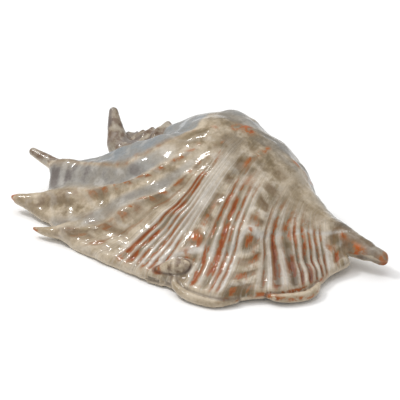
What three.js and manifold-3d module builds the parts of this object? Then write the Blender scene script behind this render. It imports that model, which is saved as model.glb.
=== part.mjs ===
// Spider conch shell: one body grown as one piece, lying on its opening side.
// Millimetres. +X runs along the coiling axis from the spire to the siphonal canal,
// +Y is the back of the last whorl, -Y is the flared lip, and z = 0 is what it rests on.
import * as THREE from 'three';
import { mergeVertices } from 'three/addons/utils/BufferGeometryUtils.js';
import Module from 'manifold-3d';

const wasm = await Module();
wasm.setup();

// ---- driving dimensions ----
const APEX_X = -57;            // tip of the spire
const APEX_BLUNT = 0.4;        // the spire starts this far behind its tip
const CORE_END_X = 78;         // where the core is swallowed by the canal
const AXIS_HEIGHT = 20.1;      // height of the coiling axis above the table at x = 0
const AXIS_FALL = 0.142;       // how far the axis drops for each millimetre of x
const WHORL_RATIO = 1.62;      // growth from one whorl to the next
const FIRST_SUTURE = 18.9;     // apex to the last suture, on the belly side
const SPIRE_SLOPE = 0.65;      // whorl radius over distance from the apex
const SUTURE_WIDTH = 0.93;     // share of the mean radius at a suture
const SHOULDER_AT = 0.62;      // place of the shoulder in a whorl, from suture (0) to suture (1)
const SHOULDER_SPREAD = 0.16;
const WHORL_STEP = [[0, SUTURE_WIDTH], [0.4, 1], [SHOULDER_AT, 1.12], [0.74, 1.08], [1, SUTURE_WIDTH]];
const KNOBS_PER_TURN = 11;
const KNOB_HEIGHT = 0.07;      // share of the whorl radius
const SHEET_STEPS = 3;         // sections between two growth lines of the lip
const CORE_STATIONS = 40;
const STATION_CROWDING = 1.25; // above 1, stations stand closer towards the apex
const CORE_SIDES = 44;
const SPINE_SIDES = 10;
const SPINE_STEPS = 12;
const ROOM = 400;              // more than the shell's length
const RIM_STEEPNESS = 0.42;    // slope of the lip near its rim, as a share of the mean
const CREST_STEEPNESS = 0.35;  // and near the crest

// Radius of the last whorl against x, seen from above.
const WHORL_RADIUS = [
  [-60, 1], [-45, 4], [-37, 9.5], [-33, 13.5], [-26, 19], [-19, 24.2], [-11, 29.2], [-4, 31.6],
  [3, 32.4], [12, 32.2], [22, 30], [30, 26.8], [38, 21.8], [47, 15], [55, 10], [62, 7.4],
  [70, 5.2], [78, 3],
];

// The profile stops sliding along the axis with growth towards the canal, and turns round there.
const SLIDE_END_X = 35;
const SLIDE_RUN = 40;
const ROUND_FROM_X = 45;
const ROUND_RUN = 35;

// How far the whorl has grown against the angle round the axis, in degrees from the belly.
// The drop after OPENING_FROM is where the opening cuts back to the whorl before.
const OPENING_FROM = 200;
const WHORL_GROWTH = [
  [0, 0.69], [45, 0.79], [90, 0.9], [135, 0.98], [180, 1], [OPENING_FROM, 1],
  [222, 0.86], [245, 0.7], [300, 0.66], [360, 0.69],
];

// How far along the axis the growing whorl has reached at those angles.
const WHORL_REACH = [
  [0, 0.79], [90, 0.89], [180, 1], [OPENING_FROM, 1.02], [245, 0.84], [300, 0.79], [360, 0.79],
];

// Shoulder knobs of the last whorl: angle, height, half width in degrees.
const SHOULDER_KNOBS = [
  [186, 2.4, 13], [152, 2.8, 11], [122, 2.8, 11], [95, 2.4, 10], [70, 1.6, 9], [47, 1.1, 8],
];
const SHOULDER_KNOB_LENGTH = 7.5;

// Growth lines of the lip, from the spire round to the canal: crest [x, y], rim [x, y, z].
const LIP_LINES = [
  [[-46, -4], [-55, -7, 26.5]], [[-40, -7], [-57, -15, 20.5]],
  [[-30, -9], [-66, -23, 17.6]], [[-22, -10], [-78, -28, 16]],
  [[-17, -10], [-78, -36, 12]], [[-13, -10], [-71, -46, 9.5]],
  [[-9, -10], [-55, -59, 5.4]], [[-5, -10], [-42, -65.5, 4.4]],
  [[2, -10], [-22, -67.5, 4.6]], [[10, -9], [-4, -68.5, 4.8]],
  [[22, -9], [15, -69, 4.8]], [[33, -9], [34, -69, 4.8]],
  [[40, -8], [45, -66, 4.8]], [[45, -7], [53, -56, 4.8]],
  [[50, -6], [65, -45, 4.8]], [[55, -5], [72, -34, 5.5]],
  [[62, -3], [73.5, -20, 6.6]], [[68, -1], [76, -8, 8.4]],
];

// Shares of the lip from rim (0) to crest (1) where its outline turns, and its half thickness.
const LIP_SHARES = [0, 0.08, 0.2, 0.34, 0.48, 0.62, 0.76, 0.9, 1];
const RIM_TURNS = [45, 90, 135];   // degrees round the edge
const LIP_HALF_THICKNESS = [[0, 2.5], [0.1, 2.7], [0.3, 3.4], [0.5, 3.8], [0.7, 3.3], [1, 2.5]];

// Fingers of the lip, the hook of its front rim and the folds of its edge: [x, y, z, radius].
const SPINES = {
  spireFinger: [
    [-41, -9, 28.5, 3.8], [-48.5, -10.5, 25.8, 5.2], [-54, -10, 26.8, 5.6], [-57.6, -7.4, 31.2, 4.4],
    [-60.6, -4.6, 36, 3.3], [-63, -2.2, 40, 2.2],
  ],
  upperFinger: [
    [-36, -26, 26, 3.8], [-48, -27, 20.6, 4.3], [-62, -27.5, 16.8, 4.4], [-76, -27.5, 15.6, 3.7],
    [-87, -27, 16.8, 2.9], [-95.6, -27, 18.7, 2.4],
  ],
  middleFinger: [
    [-38, -33, 18.5, 3.4], [-49, -38, 13.4, 4.1], [-60, -42.5, 10.2, 4.5], [-71, -47, 8.4, 3.9],
    [-80, -50.5, 7.6, 2.5], [-86.5, -53, 7.6, 1.1],
  ],
  middleKeel: [
    [-54, -49, 5, 3.4], [-61, -51.5, 4, 3.2], [-69, -52.5, 3.8, 2.8], [-77, -52.5, 5, 1.9],
    [-83, -52.5, 6.6, 1.1],
  ],
  lowerFinger: [
    [-24, -40, 15, 3], [-33, -47, 9.6, 3.5], [-41, -55, 6.4, 3.8], [-50, -61.5, 4.6, 3.2],
    [-57, -64.5, 4.2, 2.2], [-62.5, -66, 4.6, 1.1],
  ],
  frontHook: [
    [21.5, -58, 8.6, 2.6], [19.4, -59.2, 8.8, 3.8], [16.8, -61, 8.9, 3.8], [13, -62.8, 7.9, 2.8],
    [8.9, -64.6, 6, 1.4],
  ],
  frontFold: [
    [18, -62.5, 6.4, 1.4], [21.8, -67.9, 4.3, 2.1], [26, -69.3, 3.2, 2.2], [31.5, -69.7, 2.7, 2.3],
    [37, -69, 2.6, 2.3], [42, -67, 2.6, 2.2], [49.5, -60, 2.9, 1.4],
  ],
  canalFold: [
    [59.5, -50, 3.5, 1.4], [64, -48.4, 3.3, 2], [69, -44.2, 3.1, 2.3], [72.8, -39, 3.1, 2.3],
    [74.2, -34.2, 3.6, 2.1], [73.4, -30, 4.3, 1.4],
  ],
};
// Siphonal canal, and the slit along its underside.
const CANAL = [
  [50, -2, 13.6, 8], [62, -1, 12.2, 6.2], [72, -0.5, 10.8, 4.8], [81, 0, 9.2, 3.7],
  [89.4, 0.5, 7.4, 3.7],
];
const CANAL_SLIT = [
  [77, -7.4, 7.2, 1.6], [80.5, -5.8, 7.6, 2.9], [85.5, -3.6, 6.8, 2.5], [91, -1.9, 5.4, 2],
  [99, -1, 4.4, 2.2],
];

const v3 = (x, y, z) => new THREE.Vector3(x, y, z);
const axisHeight = (x) => AXIS_HEIGHT - AXIS_FALL * x;
const radians = THREE.MathUtils.degToRad;

/** Value of a smooth curve through [at, value] points. */
function curveAt(points, at) {
  const last = points.length - 1;
  if (at <= points[0][0]) {
    return points[0][1];
  }
  if (at >= points[last][0]) {
    return points[last][1];
  }
  const i = points.findIndex((p) => p[0] > at) - 1;
  const [a, b] = [points[i], points[i + 1]];
  const before = points[Math.max(i - 1, 0)];
  const after = points[Math.min(i + 2, last)];
  const slopeA = (b[1] - before[1]) / (b[0] - before[0]);
  const slopeB = (after[1] - a[1]) / (after[0] - a[0]);
  const step = b[0] - a[0];
  const t = (at - a[0]) / step;
  const rise = b[1] - a[1];
  return a[1] + t * (rise + (1 - t) * ((slopeA * step - rise) * (1 - t) - (slopeB * step - rise) * t));
}

/** Closed solid through rings of equal length, with a fan over each end. */
function loft(rings) {
  const sides = rings[0].length;
  const positions = rings.flat().flatMap((p) => [p.x, p.y, p.z]);
  const indices = [];
  for (let i = 0; i < rings.length - 1; i++) {
    for (let j = 0; j < sides; j++) {
      const [a, b] = [i * sides + j, i * sides + (j + 1) % sides];
      indices.push(a, b, b + sides, a, b + sides, a + sides);
    }
  }
  [[rings[0], 0], [rings.at(-1), (rings.length - 1) * sides]].forEach(([ring, first]) => {
    const middle = ring.reduce((sum, p) => sum.add(p), v3(0, 0, 0)).divideScalar(sides);
    const hub = positions.length / 3;
    positions.push(middle.x, middle.y, middle.z);
    for (let j = 0; j < sides; j++) {
      const [a, b] = [first + j, first + (j + 1) % sides];
      indices.push(...(first === 0 ? [hub, b, a] : [hub, a, b]));
    }
  });
  return solid(positions, indices);
}

/** Solid from positions and triangles, turned to face outward. */
function solid(positions, indices) {
  let volume = 0;
  for (let i = 0; i < indices.length; i += 3) {
    const [a, b, c] = [0, 1, 2].map((k) => v3().fromArray(positions, 3 * indices[i + k]));
    volume += a.dot(b.cross(c));
  }
  const order = volume < 0 ? indices.toReversed() : indices;
  return new wasm.Manifold(new wasm.Mesh({
    numProp: 3,
    vertProperties: new Float32Array(positions),
    triVerts: new Uint32Array(order),
  }));
}

/** Solid from a three.js geometry. */
function fromGeometry(geometry) {
  geometry.deleteAttribute('normal');
  geometry.deleteAttribute('uv');
  const merged = mergeVertices(geometry);
  return solid([...merged.attributes.position.array], [...merged.index.array]);
}

/** Radius of the coiled spire at a distance from the apex and an angle round the axis. */
function spireRadius(distance, angle) {
  const turn = angle / (2 * Math.PI);
  const past = Math.log(distance / FIRST_SUTURE) / Math.log(WHORL_RATIO) - turn;
  const suture = FIRST_SUTURE * WHORL_RATIO ** turn;
  if (past >= 0) {
    return suture * SPIRE_SLOPE * SUTURE_WIDTH - (distance - suture);
  }
  const inWhorl = past - Math.floor(past);
  const step = curveAt(WHORL_STEP, inWhorl);
  const knob = Math.cos(KNOBS_PER_TURN * (angle + 2 * Math.PI * Math.floor(past)));
  const shoulder = Math.exp(-(((inWhorl - SHOULDER_AT) / SHOULDER_SPREAD) ** 2));
  return distance * SPIRE_SLOPE * (step + KNOB_HEIGHT * knob * shoulder);
}

/** Radius of the last whorl, whose profile slides along the axis as it grows. */
function lastWhorlRadius(x, angle) {
  const degrees = THREE.MathUtils.radToDeg(angle);
  const slide = THREE.MathUtils.clamp((SLIDE_END_X - x) / SLIDE_RUN, 0, 1);
  const at = APEX_X + (x - APEX_X) * (1 + (1 / curveAt(WHORL_REACH, degrees) - 1) * slide);
  const growth = curveAt(WHORL_GROWTH, degrees);
  const roundness = THREE.MathUtils.clamp((x - ROUND_FROM_X) / ROUND_RUN, 0, 1);
  return curveAt(WHORL_RADIUS, at) * (growth + (1 - growth) * roundness);
}

/** Extra radius from the knobs on the shoulder of the last whorl. */
function shoulderKnobs(x, angle) {
  const degrees = THREE.MathUtils.radToDeg(angle);
  return SHOULDER_KNOBS.reduce((sum, [at, height, width]) => {
    const middle = APEX_X * (1 - WHORL_RATIO ** ((at - 180) / 360));
    const across = ((x - middle) / SHOULDER_KNOB_LENGTH) ** 2;
    return sum + height * Math.exp(-(((degrees - at) / width) ** 2) - across);
  }, 0);
}

/** Core of the shell: spire, last whorl and the base of the canal. */
function core() {
  const rings = [];
  for (let i = 0; i <= CORE_STATIONS; i++) {
    const distance = (CORE_END_X - APEX_X) * (i / CORE_STATIONS) ** STATION_CROWDING + APEX_BLUNT;
    const x = APEX_X + distance;
    const ring = [];
    for (let j = 0; j < CORE_SIDES; j++) {
      const angle = (j / CORE_SIDES) * 2 * Math.PI;
      const radius = Math.max(spireRadius(distance, angle), lastWhorlRadius(x, angle))
        + shoulderKnobs(x, angle);
      ring.push(v3(x, radius * Math.sin(angle), axisHeight(x) - radius * Math.cos(angle)));
    }
    rings.push(ring);
  }
  return loft(rings);
}

/** Height of the crest of the last whorl over a point of the plan. */
function crestHeight(x, y) {
  const radius = curveAt(WHORL_RADIUS, x);
  return axisHeight(x) + Math.sqrt(Math.max(radius * radius - y * y, 1)) - 0.6;
}

/** Share of the climb from rim to crest, at t from 0 to 1. */
function climb(t) {
  const [a, b] = [RIM_STEEPNESS, CREST_STEEPNESS];
  return (a + b - 2) * t ** 3 + (3 - 2 * a - b) * t ** 2 + a * t;
}

/** Middle of the lip's thickness along one growth line, at t from rim (0) to crest (1). */
function lipMiddle(crest, rim, t) {
  const run = Math.hypot(rim.x - crest.x, rim.y - crest.y);
  const out = v3((rim.x - crest.x) / run, (rim.y - crest.y) / run, 0);
  const height = crestHeight(crest.x, crest.y) - rim.z;
  const slope = (height / run) * (climb(t + 0.01) - climb(t - 0.01)) / 0.02;
  const half = curveAt(LIP_HALF_THICKNESS, t);
  const normal = v3(out.x * slope, out.y * slope, 1).normalize();
  const inset = (1 - t) * run - (t === 0 ? half : 0);
  const onTop = v3(crest.x + out.x * inset, crest.y + out.y * inset, rim.z + height * climb(t));
  return { centre: onTop.addScaledVector(normal, -half), normal, half, out };
}

/** Closed outline of the lip along one growth line, from crest out to the round rim and back. */
function lipSection(crest, rim) {
  const middle = LIP_SHARES.map((t) => lipMiddle(crest, rim, t));
  const face = (sign) => middle.map(({ centre, normal, half }) => (
    centre.clone().addScaledVector(normal, sign * half)
  ));
  const { centre, normal, half, out } = middle[0];
  const side = v3(0, 0, 1).cross(out).normalize();
  const round = RIM_TURNS.map((turn) => {
    const reach = normal.clone().applyAxisAngle(side, radians(turn));
    return centre.clone().addScaledVector(reach, half);
  });
  return [...face(1).toReversed(), ...round, ...face(-1)];
}

/** Flared outer lip, a fan of growth lines from the spire round to the canal. */
function lip() {
  const crests = new THREE.CatmullRomCurve3(LIP_LINES.map(([[x, y]]) => v3(x, y, 0)));
  const rims = new THREE.CatmullRomCurve3(LIP_LINES.map(([, [x, y, z]]) => v3(x, y, z)));
  const count = (LIP_LINES.length - 1) * SHEET_STEPS;
  const sections = [];
  for (let i = 0; i <= count; i++) {
    sections.push(lipSection(crests.getPoint(i / count), rims.getPoint(i / count)));
  }
  return loft(sections);
}

/** Round tapering rod with a blunt tip through points that carry their radius. */
function taper(points) {
  const path = new THREE.CatmullRomCurve3(points.map(([x, y, z]) => v3(x, y, z)));
  const frames = path.computeFrenetFrames(SPINE_STEPS);
  const radii = points.map((p, i) => [i / (points.length - 1), p[3]]);
  const ringAt = (t, step, scale, reach) => {
    const centre = path.getPoint(t).addScaledVector(frames.tangents[step], reach);
    return Array.from({ length: SPINE_SIDES }, (_, j) => {
      const turn = (j / SPINE_SIDES) * 2 * Math.PI;
      const radius = curveAt(radii, t) * scale;
      return centre.clone()
        .addScaledVector(frames.normals[step], radius * Math.cos(turn))
        .addScaledVector(frames.binormals[step], radius * Math.sin(turn));
    });
  };
  const rings = Array.from({ length: SPINE_STEPS + 1 }, (_, i) => ringAt(i / SPINE_STEPS, i, 1, 0));
  const tip = points.at(-1)[3];
  rings.push(ringAt(1, SPINE_STEPS, 0.6, tip * 0.7));
  return loft(rings);
}

/** Everything above the surface the shell rests on. */
function aboveTable() {
  const box = new THREE.BoxGeometry(ROOM, ROOM, ROOM);
  box.translate(0, 0, ROOM / 2);
  return fromGeometry(box);
}

/** The whole shell as one solid. */
function shellSolid() {
  const body = core().add(lip());
  const grown = Object.values(SPINES).reduce((sum, points) => sum.add(taper(points)), body);
  return grown.add(taper(CANAL)).subtract(taper(CANAL_SLIT)).intersect(aboveTable());
}

/** three.js geometry of a solid. */
function toGeometry(manifold) {
  const mesh = manifold.getMesh();
  const geometry = new THREE.BufferGeometry();
  geometry.setAttribute('position', new THREE.BufferAttribute(mesh.vertProperties, 3));
  geometry.setIndex(new THREE.BufferAttribute(mesh.triVerts, 1));
  geometry.computeVertexNormals();
  return geometry;
}

const glossyShell = new THREE.MeshStandardMaterial({ color: 0xb9a58c, roughness: 0.22, metalness: 0 });
const shell = new THREE.Mesh(toGeometry(shellSolid()), glossyShell);
shell.name = 'shell';

const model = new THREE.Group();
model.add(shell);

export default model;
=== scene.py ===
"""Spider conch shell, lying on its opening side, as one closed and coloured skin.

The skin is the zero level of a field of distances, joined from the parts that such a shell grows:
the coiled whorls, the flared lip, the fingers, the rim hooks and the siphonal canal. Every point of
the skin also knows where it lies on the lip, and the ribs, growth lines and colours follow that.
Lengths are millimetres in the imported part's frame until the mesh is made.
"""

import logging
import math
from dataclasses import dataclass, field
from enum import Enum
from functools import cached_property
from typing import Mapping, Sequence, Union

import bmesh
import bpy
import numpy as np
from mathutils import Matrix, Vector


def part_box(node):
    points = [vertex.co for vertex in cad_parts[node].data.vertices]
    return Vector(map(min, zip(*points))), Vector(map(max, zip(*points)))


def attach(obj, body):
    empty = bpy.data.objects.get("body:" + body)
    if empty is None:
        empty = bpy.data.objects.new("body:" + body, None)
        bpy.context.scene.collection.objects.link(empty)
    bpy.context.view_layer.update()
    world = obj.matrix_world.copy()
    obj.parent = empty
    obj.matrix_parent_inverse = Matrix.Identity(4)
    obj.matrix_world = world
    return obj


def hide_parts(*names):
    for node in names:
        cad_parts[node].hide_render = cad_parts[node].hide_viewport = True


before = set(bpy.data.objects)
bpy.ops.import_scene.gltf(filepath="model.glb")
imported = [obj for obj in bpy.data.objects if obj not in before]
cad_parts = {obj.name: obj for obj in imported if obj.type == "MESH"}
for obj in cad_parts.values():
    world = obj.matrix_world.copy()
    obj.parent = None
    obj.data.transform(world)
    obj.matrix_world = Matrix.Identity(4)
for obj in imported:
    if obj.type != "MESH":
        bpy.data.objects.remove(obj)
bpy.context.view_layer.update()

Array = np.ndarray
Knots = Sequence[Sequence[float]]
Span = tuple[float, float]

LOG = logging.getLogger("spider_conch")
NODE = "shell"
METRE = 0.001
SEED = 7


def smooth_union(first: Array, second: Array, reach: float) -> Array:
    """Joins two fields with a fillet.

    Args:
        first: Distances to one solid.
        second: Distances to the other.
        reach: Width of the fillet.

    Returns:
        Distances to both together.
    """
    share = np.clip(0.5 + 0.5 * (second - first) / reach, 0.0, 1.0)
    return second + (first - second) * share - reach * share * (1.0 - share)


def smooth_cut(first: Array, second: Array, reach: float) -> Array:
    """Takes the second solid out of the first, with a rounded edge.

    Args:
        first: Distances to the solid that is cut.
        second: Distances to what is taken out.
        reach: Width of the rounding.

    Returns:
        Distances to what is left.
    """
    return -smooth_union(-first, second, reach)


def ease(value: Array, start: float, end: float) -> Array:
    """Climbs smoothly from 0 at start to 1 at end.

    Args:
        value: What is eased.
        start: Where the climb begins; it may lie above end.
        end: Where it is done.

    Returns:
        Shares from 0 to 1.
    """
    share = np.clip((value - start) / (end - start), 0.0, 1.0)
    return share * share * (3.0 - 2.0 * share)


def swell(value: Array, width: float) -> Array:
    """A rounded bump of height 1 round 0, with the given half width."""
    return np.exp(-((value / width) ** 2))


def smooth_path(points: Knots, steps: int = 10) -> Array:
    """Runs a smooth path through points of any number of coordinates.

    Args:
        points: The points that the path passes.
        steps: Pieces between two of them.

    Returns:
        The dense path, one row a point.
    """
    knots = np.asarray(points, float)
    padded = np.vstack([2 * knots[0] - knots[1], knots, 2 * knots[-1] - knots[-2]])
    share = np.linspace(0.0, 1.0, steps, endpoint=False)[:, None]
    pieces = []
    for a, b, c, d in zip(padded, padded[1:], padded[2:], padded[3:]):
        cubic = (3 * b - a - 3 * c + d) * share**3
        square = (2 * a - 5 * b + 4 * c - d) * share**2
        pieces.append(0.5 * (2 * b + (c - a) * share + square + cubic))
    return np.vstack([*pieces, knots[-1:]])


def soften(grid: Array, rounds: int) -> Array:
    """Smooths a plan grid by averaging each place with its neighbours.

    Args:
        grid: The values.
        rounds: How many times they are averaged.

    Returns:
        The smoothed values.
    """
    for _ in range(rounds):
        for axis in (0, 1):
            grid = 0.5 * grid + 0.25 * (np.roll(grid, 1, axis) + np.roll(grid, -1, axis))
    return grid


@dataclass(frozen=True)
class Profile:
    """A smooth curve through given knots, read against their first number."""

    knots: Knots

    @cached_property
    def dense(self) -> Array:
        """The smooth path through the knots."""
        return smooth_path(self.knots)

    def __call__(self, at: Array) -> Array:
        """Reads the curve at the given places."""
        return np.interp(at, self.dense[:, 0], self.dense[:, 1])


@dataclass(frozen=True)
class Ripple:
    """Gentle unevenness, as a sum of seeded waves in every direction.

    Attributes:
        wavelength: Their middle length, in millimetres.
        height: How strong they are together.
        waves: How many there are.
    """

    wavelength: float
    height: float
    waves: int = 14

    def __call__(self, points: Array) -> Array:
        """Heights of the unevenness at the points.

        Args:
            points: Places, in millimetres.

        Returns:
            Heights in millimetres.
        """
        random = np.random.default_rng(SEED + int(self.wavelength * 10))
        total = np.zeros(len(points))
        for _ in range(self.waves):
            way = random.normal(size=3)
            way *= random.uniform(0.7, 1.5) / (np.linalg.norm(way) * self.wavelength)
            total += np.sin(2 * math.pi * (points @ way) + random.uniform(0, 2 * math.pi))
        return total * self.height / math.sqrt(self.waves)


@dataclass(frozen=True)
class Whorls:
    """The coiled body: spire, last whorl and the root of the canal.

    Attributes:
        apex_x: Tip of the spire.
        end_x: End of the body, inside the canal.
        axis_height: Height of the coiling axis at x = 0.
        axis_fall: How far the axis drops for each millimetre of x.
        ratio: Growth from one whorl to the next.
        first_suture: Distance from the apex to the last suture, on the belly side.
        spire_slope: Whorl radius over distance from the apex.
        slide_end_x: Where the last whorl stops sliding along the axis as it grows.
        slide_run: Length over which the slide fades out.
        round_from_x: Where the last whorl begins to turn round, towards the canal.
        round_run: Length over which it does.
        knobs_per_turn: Knobs on one whorl of the spire.
        knob_height: Their height, as a share of the radius.
        knob_place: Their place in the whorl, from suture (0) to suture (1).
        knob_spread: Their half width there.
        shoulder_knob_length: Half length of the last whorl's knobs.
        flatness: Scale that makes the radial distances nearer to the true ones.
        edge: Size of the rounding at both ends of the body.
        profile: Radius of the last whorl against x, seen from above.
        growth: How far the whorl has grown, against the angle from the belly.
        reach: How far along the axis it has reached at those angles.
        step: Radius over the mean within one whorl of the spire.
        shoulder_knobs: Angle, height and half width of each knob of the last whorl.
    """

    apex_x: float = -56.0
    end_x: float = 80.0
    axis_height: float = 20.1
    axis_fall: float = 0.142
    ratio: float = 1.62
    first_suture: float = 18.9
    spire_slope: float = 0.65
    slide_end_x: float = 35.0
    slide_run: float = 40.0
    round_from_x: float = 45.0
    round_run: float = 35.0
    knobs_per_turn: int = 7
    knob_height: float = 0.055
    knob_place: float = 0.6
    knob_spread: float = 0.24
    shoulder_knob_length: float = 7.5
    flatness: float = 0.85
    edge: float = 1.0
    profile: Profile = Profile((
        (-60, 1), (-45, 4), (-37, 9.5), (-33, 13.5), (-26, 19), (-19, 24.2), (-11, 29.2), (-4, 31.6),
        (3, 32.4), (12, 32.2), (22, 30.0), (30, 26.8), (38, 21.8), (47, 15.0), (55, 10.0), (62, 7.4),
        (70, 5.2), (80, 3),
    ))
    growth: Profile = Profile((
        (0, 0.69), (45, 0.79), (90, 0.9), (135, 0.98), (180, 1.0), (200, 1.0),
        (222, 0.86), (245, 0.7), (300, 0.66), (360, 0.69),
    ))
    reach: Profile = Profile((
        (0, 0.79), (90, 0.89), (180, 1.0), (200, 1.02), (245, 0.84), (300, 0.79), (360, 0.79),
    ))
    step: Profile = Profile((
        (0, 0.92), (0.3, 0.95), (0.5, 1.03), (0.62, 1.13), (0.74, 1.09), (0.9, 0.97), (1, 0.92),
    ))
    shoulder_knobs: Knots = (
        (186, 2.3, 13), (152, 2.6, 11), (122, 2.3, 11), (95, 1.9, 10), (70, 1.5, 9), (47, 1.0, 8),
    )

    def axis_z(self, x: Array) -> Array:
        """Height of the coiling axis."""
        return self.axis_height - self.axis_fall * x

    def polar(self, points: Array) -> tuple[Array, Array]:
        """Distance from the axis, and the angle round it in degrees from the belly.

        Args:
            points: Places, in millimetres.

        Returns:
            Distances, and angles from 0 to 360.
        """
        x, y, z = points.T
        below = self.axis_z(x) - z
        return np.hypot(y, below), np.degrees(np.mod(np.arctan2(y, below), 2 * math.pi))

    def slid(self, x: Array, angle: Array) -> Array:
        """Where along the last whorl's profile a place lies, once the growth is taken out."""
        slide = np.clip((self.slide_end_x - x) / self.slide_run, 0.0, 1.0)
        return self.apex_x + (x - self.apex_x) * (1.0 + (1.0 / self.reach(angle) - 1.0) * slide)

    def turn(self, x: Array, angle: Array) -> Array:
        """Whorls counted from the last suture: negative towards the apex, whole at a suture."""
        distance = np.maximum(x - self.apex_x, 0.05)
        return np.log(distance / self.first_suture) / math.log(self.ratio) - angle / 360.0

    def spire_radius(self, x: Array, angle: Array) -> Array:
        """Radius of the stepped and knobbed spire.

        Args:
            x: Places along the axis.
            angle: Angles round the axis, in degrees.

        Returns:
            Radii in millimetres.
        """
        distance = np.maximum(x - self.apex_x, 0.05)
        turn = self.turn(x, angle)
        whorl = np.floor(turn)
        place = turn - whorl
        step = self.step(place)
        knob = np.cos(np.radians(self.knobs_per_turn * (angle + 360.0 * whorl)))
        step = step + self.knob_height * knob * swell(place - self.knob_place, self.knob_spread)
        suture = self.first_suture * self.ratio ** (angle / 360.0)
        inside = self.spire_slope * 0.92 * suture - (distance - suture) * 1.2
        return np.where(turn < 0, distance * self.spire_slope * step, inside)

    def knobs(self, x: Array, angle: Array) -> Array:
        """Extra radius from the knobs on the shoulder of the last whorl.

        Args:
            x: Places along the axis.
            angle: Angles round the axis, in degrees.

        Returns:
            Extra radii in millimetres.
        """
        total = np.zeros_like(x)
        for at, height, width in self.shoulder_knobs:
            middle = self.apex_x * (1.0 - self.ratio ** ((at - 180.0) / 360.0))
            total += height * swell(angle - at, width) * swell(x - middle, self.shoulder_knob_length)
        return total

    def field(self, points: Array) -> Array:
        """Distances to the coiled body.

        Args:
            points: Places, in millimetres.

        Returns:
            Distances, negative inside.
        """
        x = points[:, 0]
        out, angle = self.polar(points)
        round_end = np.clip((x - self.round_from_x) / self.round_run, 0.0, 1.0)
        growth = self.growth(angle)
        last = self.profile(self.slid(x, angle)) * (growth + (1.0 - growth) * round_end)
        radius = -smooth_union(-self.spire_radius(x, angle), -last, self.edge) + self.knobs(x, angle)
        body = smooth_cut((out - radius) * self.flatness, x - self.apex_x, self.edge)
        return smooth_cut(body, self.end_x - x, self.edge)


@dataclass(frozen=True)
class Ridge:
    """A ridge of the lip that runs out into a finger.

    Attributes:
        line: The growth line that it follows.
        height: Its height near the rim.
        width: Its half width, measured along the rim.
        fades_at: The share of the lip, from rim 0 to crest 1, where it is gone.
    """

    line: float
    height: float
    width: float
    fades_at: float


@dataclass(frozen=True)
class RibRoutes:
    """How the named ribs wander over the fan of growth lines, between the rim and the crest.

    Attributes:
        shares: Shares of the lip at which the routes are given.
        routes: Each rib's name number, then the fan line where it lies at each share.
        last: The number of the last growth line.
    """

    shares: Sequence[float] = (0.0, 0.2, 0.4, 0.5, 0.6, 0.8, 1.0)
    routes: Knots = (
        (3.0, 3.1, 3.5, 4.65, 5.4, 5.62, 5.8, 5.8),
        (5.1, 5.2, 5.43, 6.1, 6.75, 7.3, 7.9, 7.9),
        (7.1, 6.5, 7.4, 7.7, 8.2, 8.5, 8.75, 8.7),
        (8.5, 8.55, 8.6, 8.82, 8.97, 9.05, 9.12, 9.05),
        (11.0, 10.68, 10.58, 10.42, 10.34, 10.3, 10.25, 10.25),
        (13.45, 13.35, 13.2, 12.9, 12.6, 12.35, 12.1, 12.0),
        (14.3, 14.4, 14.2, 13.88, 13.7, 13.52, 13.3, 13.25),
        (15.0, 15.0, 14.9, 14.6, 14.5, 14.35, 14.12, 14.08),
        (15.6, 15.6, 15.5, 15.35, 15.25, 15.18, 15.08, 15.02),
    )
    last: float = 17.0

    def __call__(self, line: Array, share: Array) -> Array:
        """Finds between which ribs a place lies.

        Args:
            line: Fan lines.
            share: Shares of the lip.

        Returns:
            Name numbers of the ribs.
        """
        names = [0.0, *(route[0] for route in self.routes), self.last]
        at = np.clip(share, 0.0, 1.0)
        inner = [Profile(tuple(zip(self.shares, route[1:])))(at) for route in self.routes]
        stops = [np.zeros_like(line), *inner, np.full_like(line, self.last)]
        found = np.minimum(line, 0.0) + np.maximum(line - self.last, 0.0)
        for low, high, first, second in zip(stops, stops[1:], names, names[1:]):
            found = found + np.clip((line - low) / (high - low), 0.0, 1.0) * (second - first)
        return found


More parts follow.
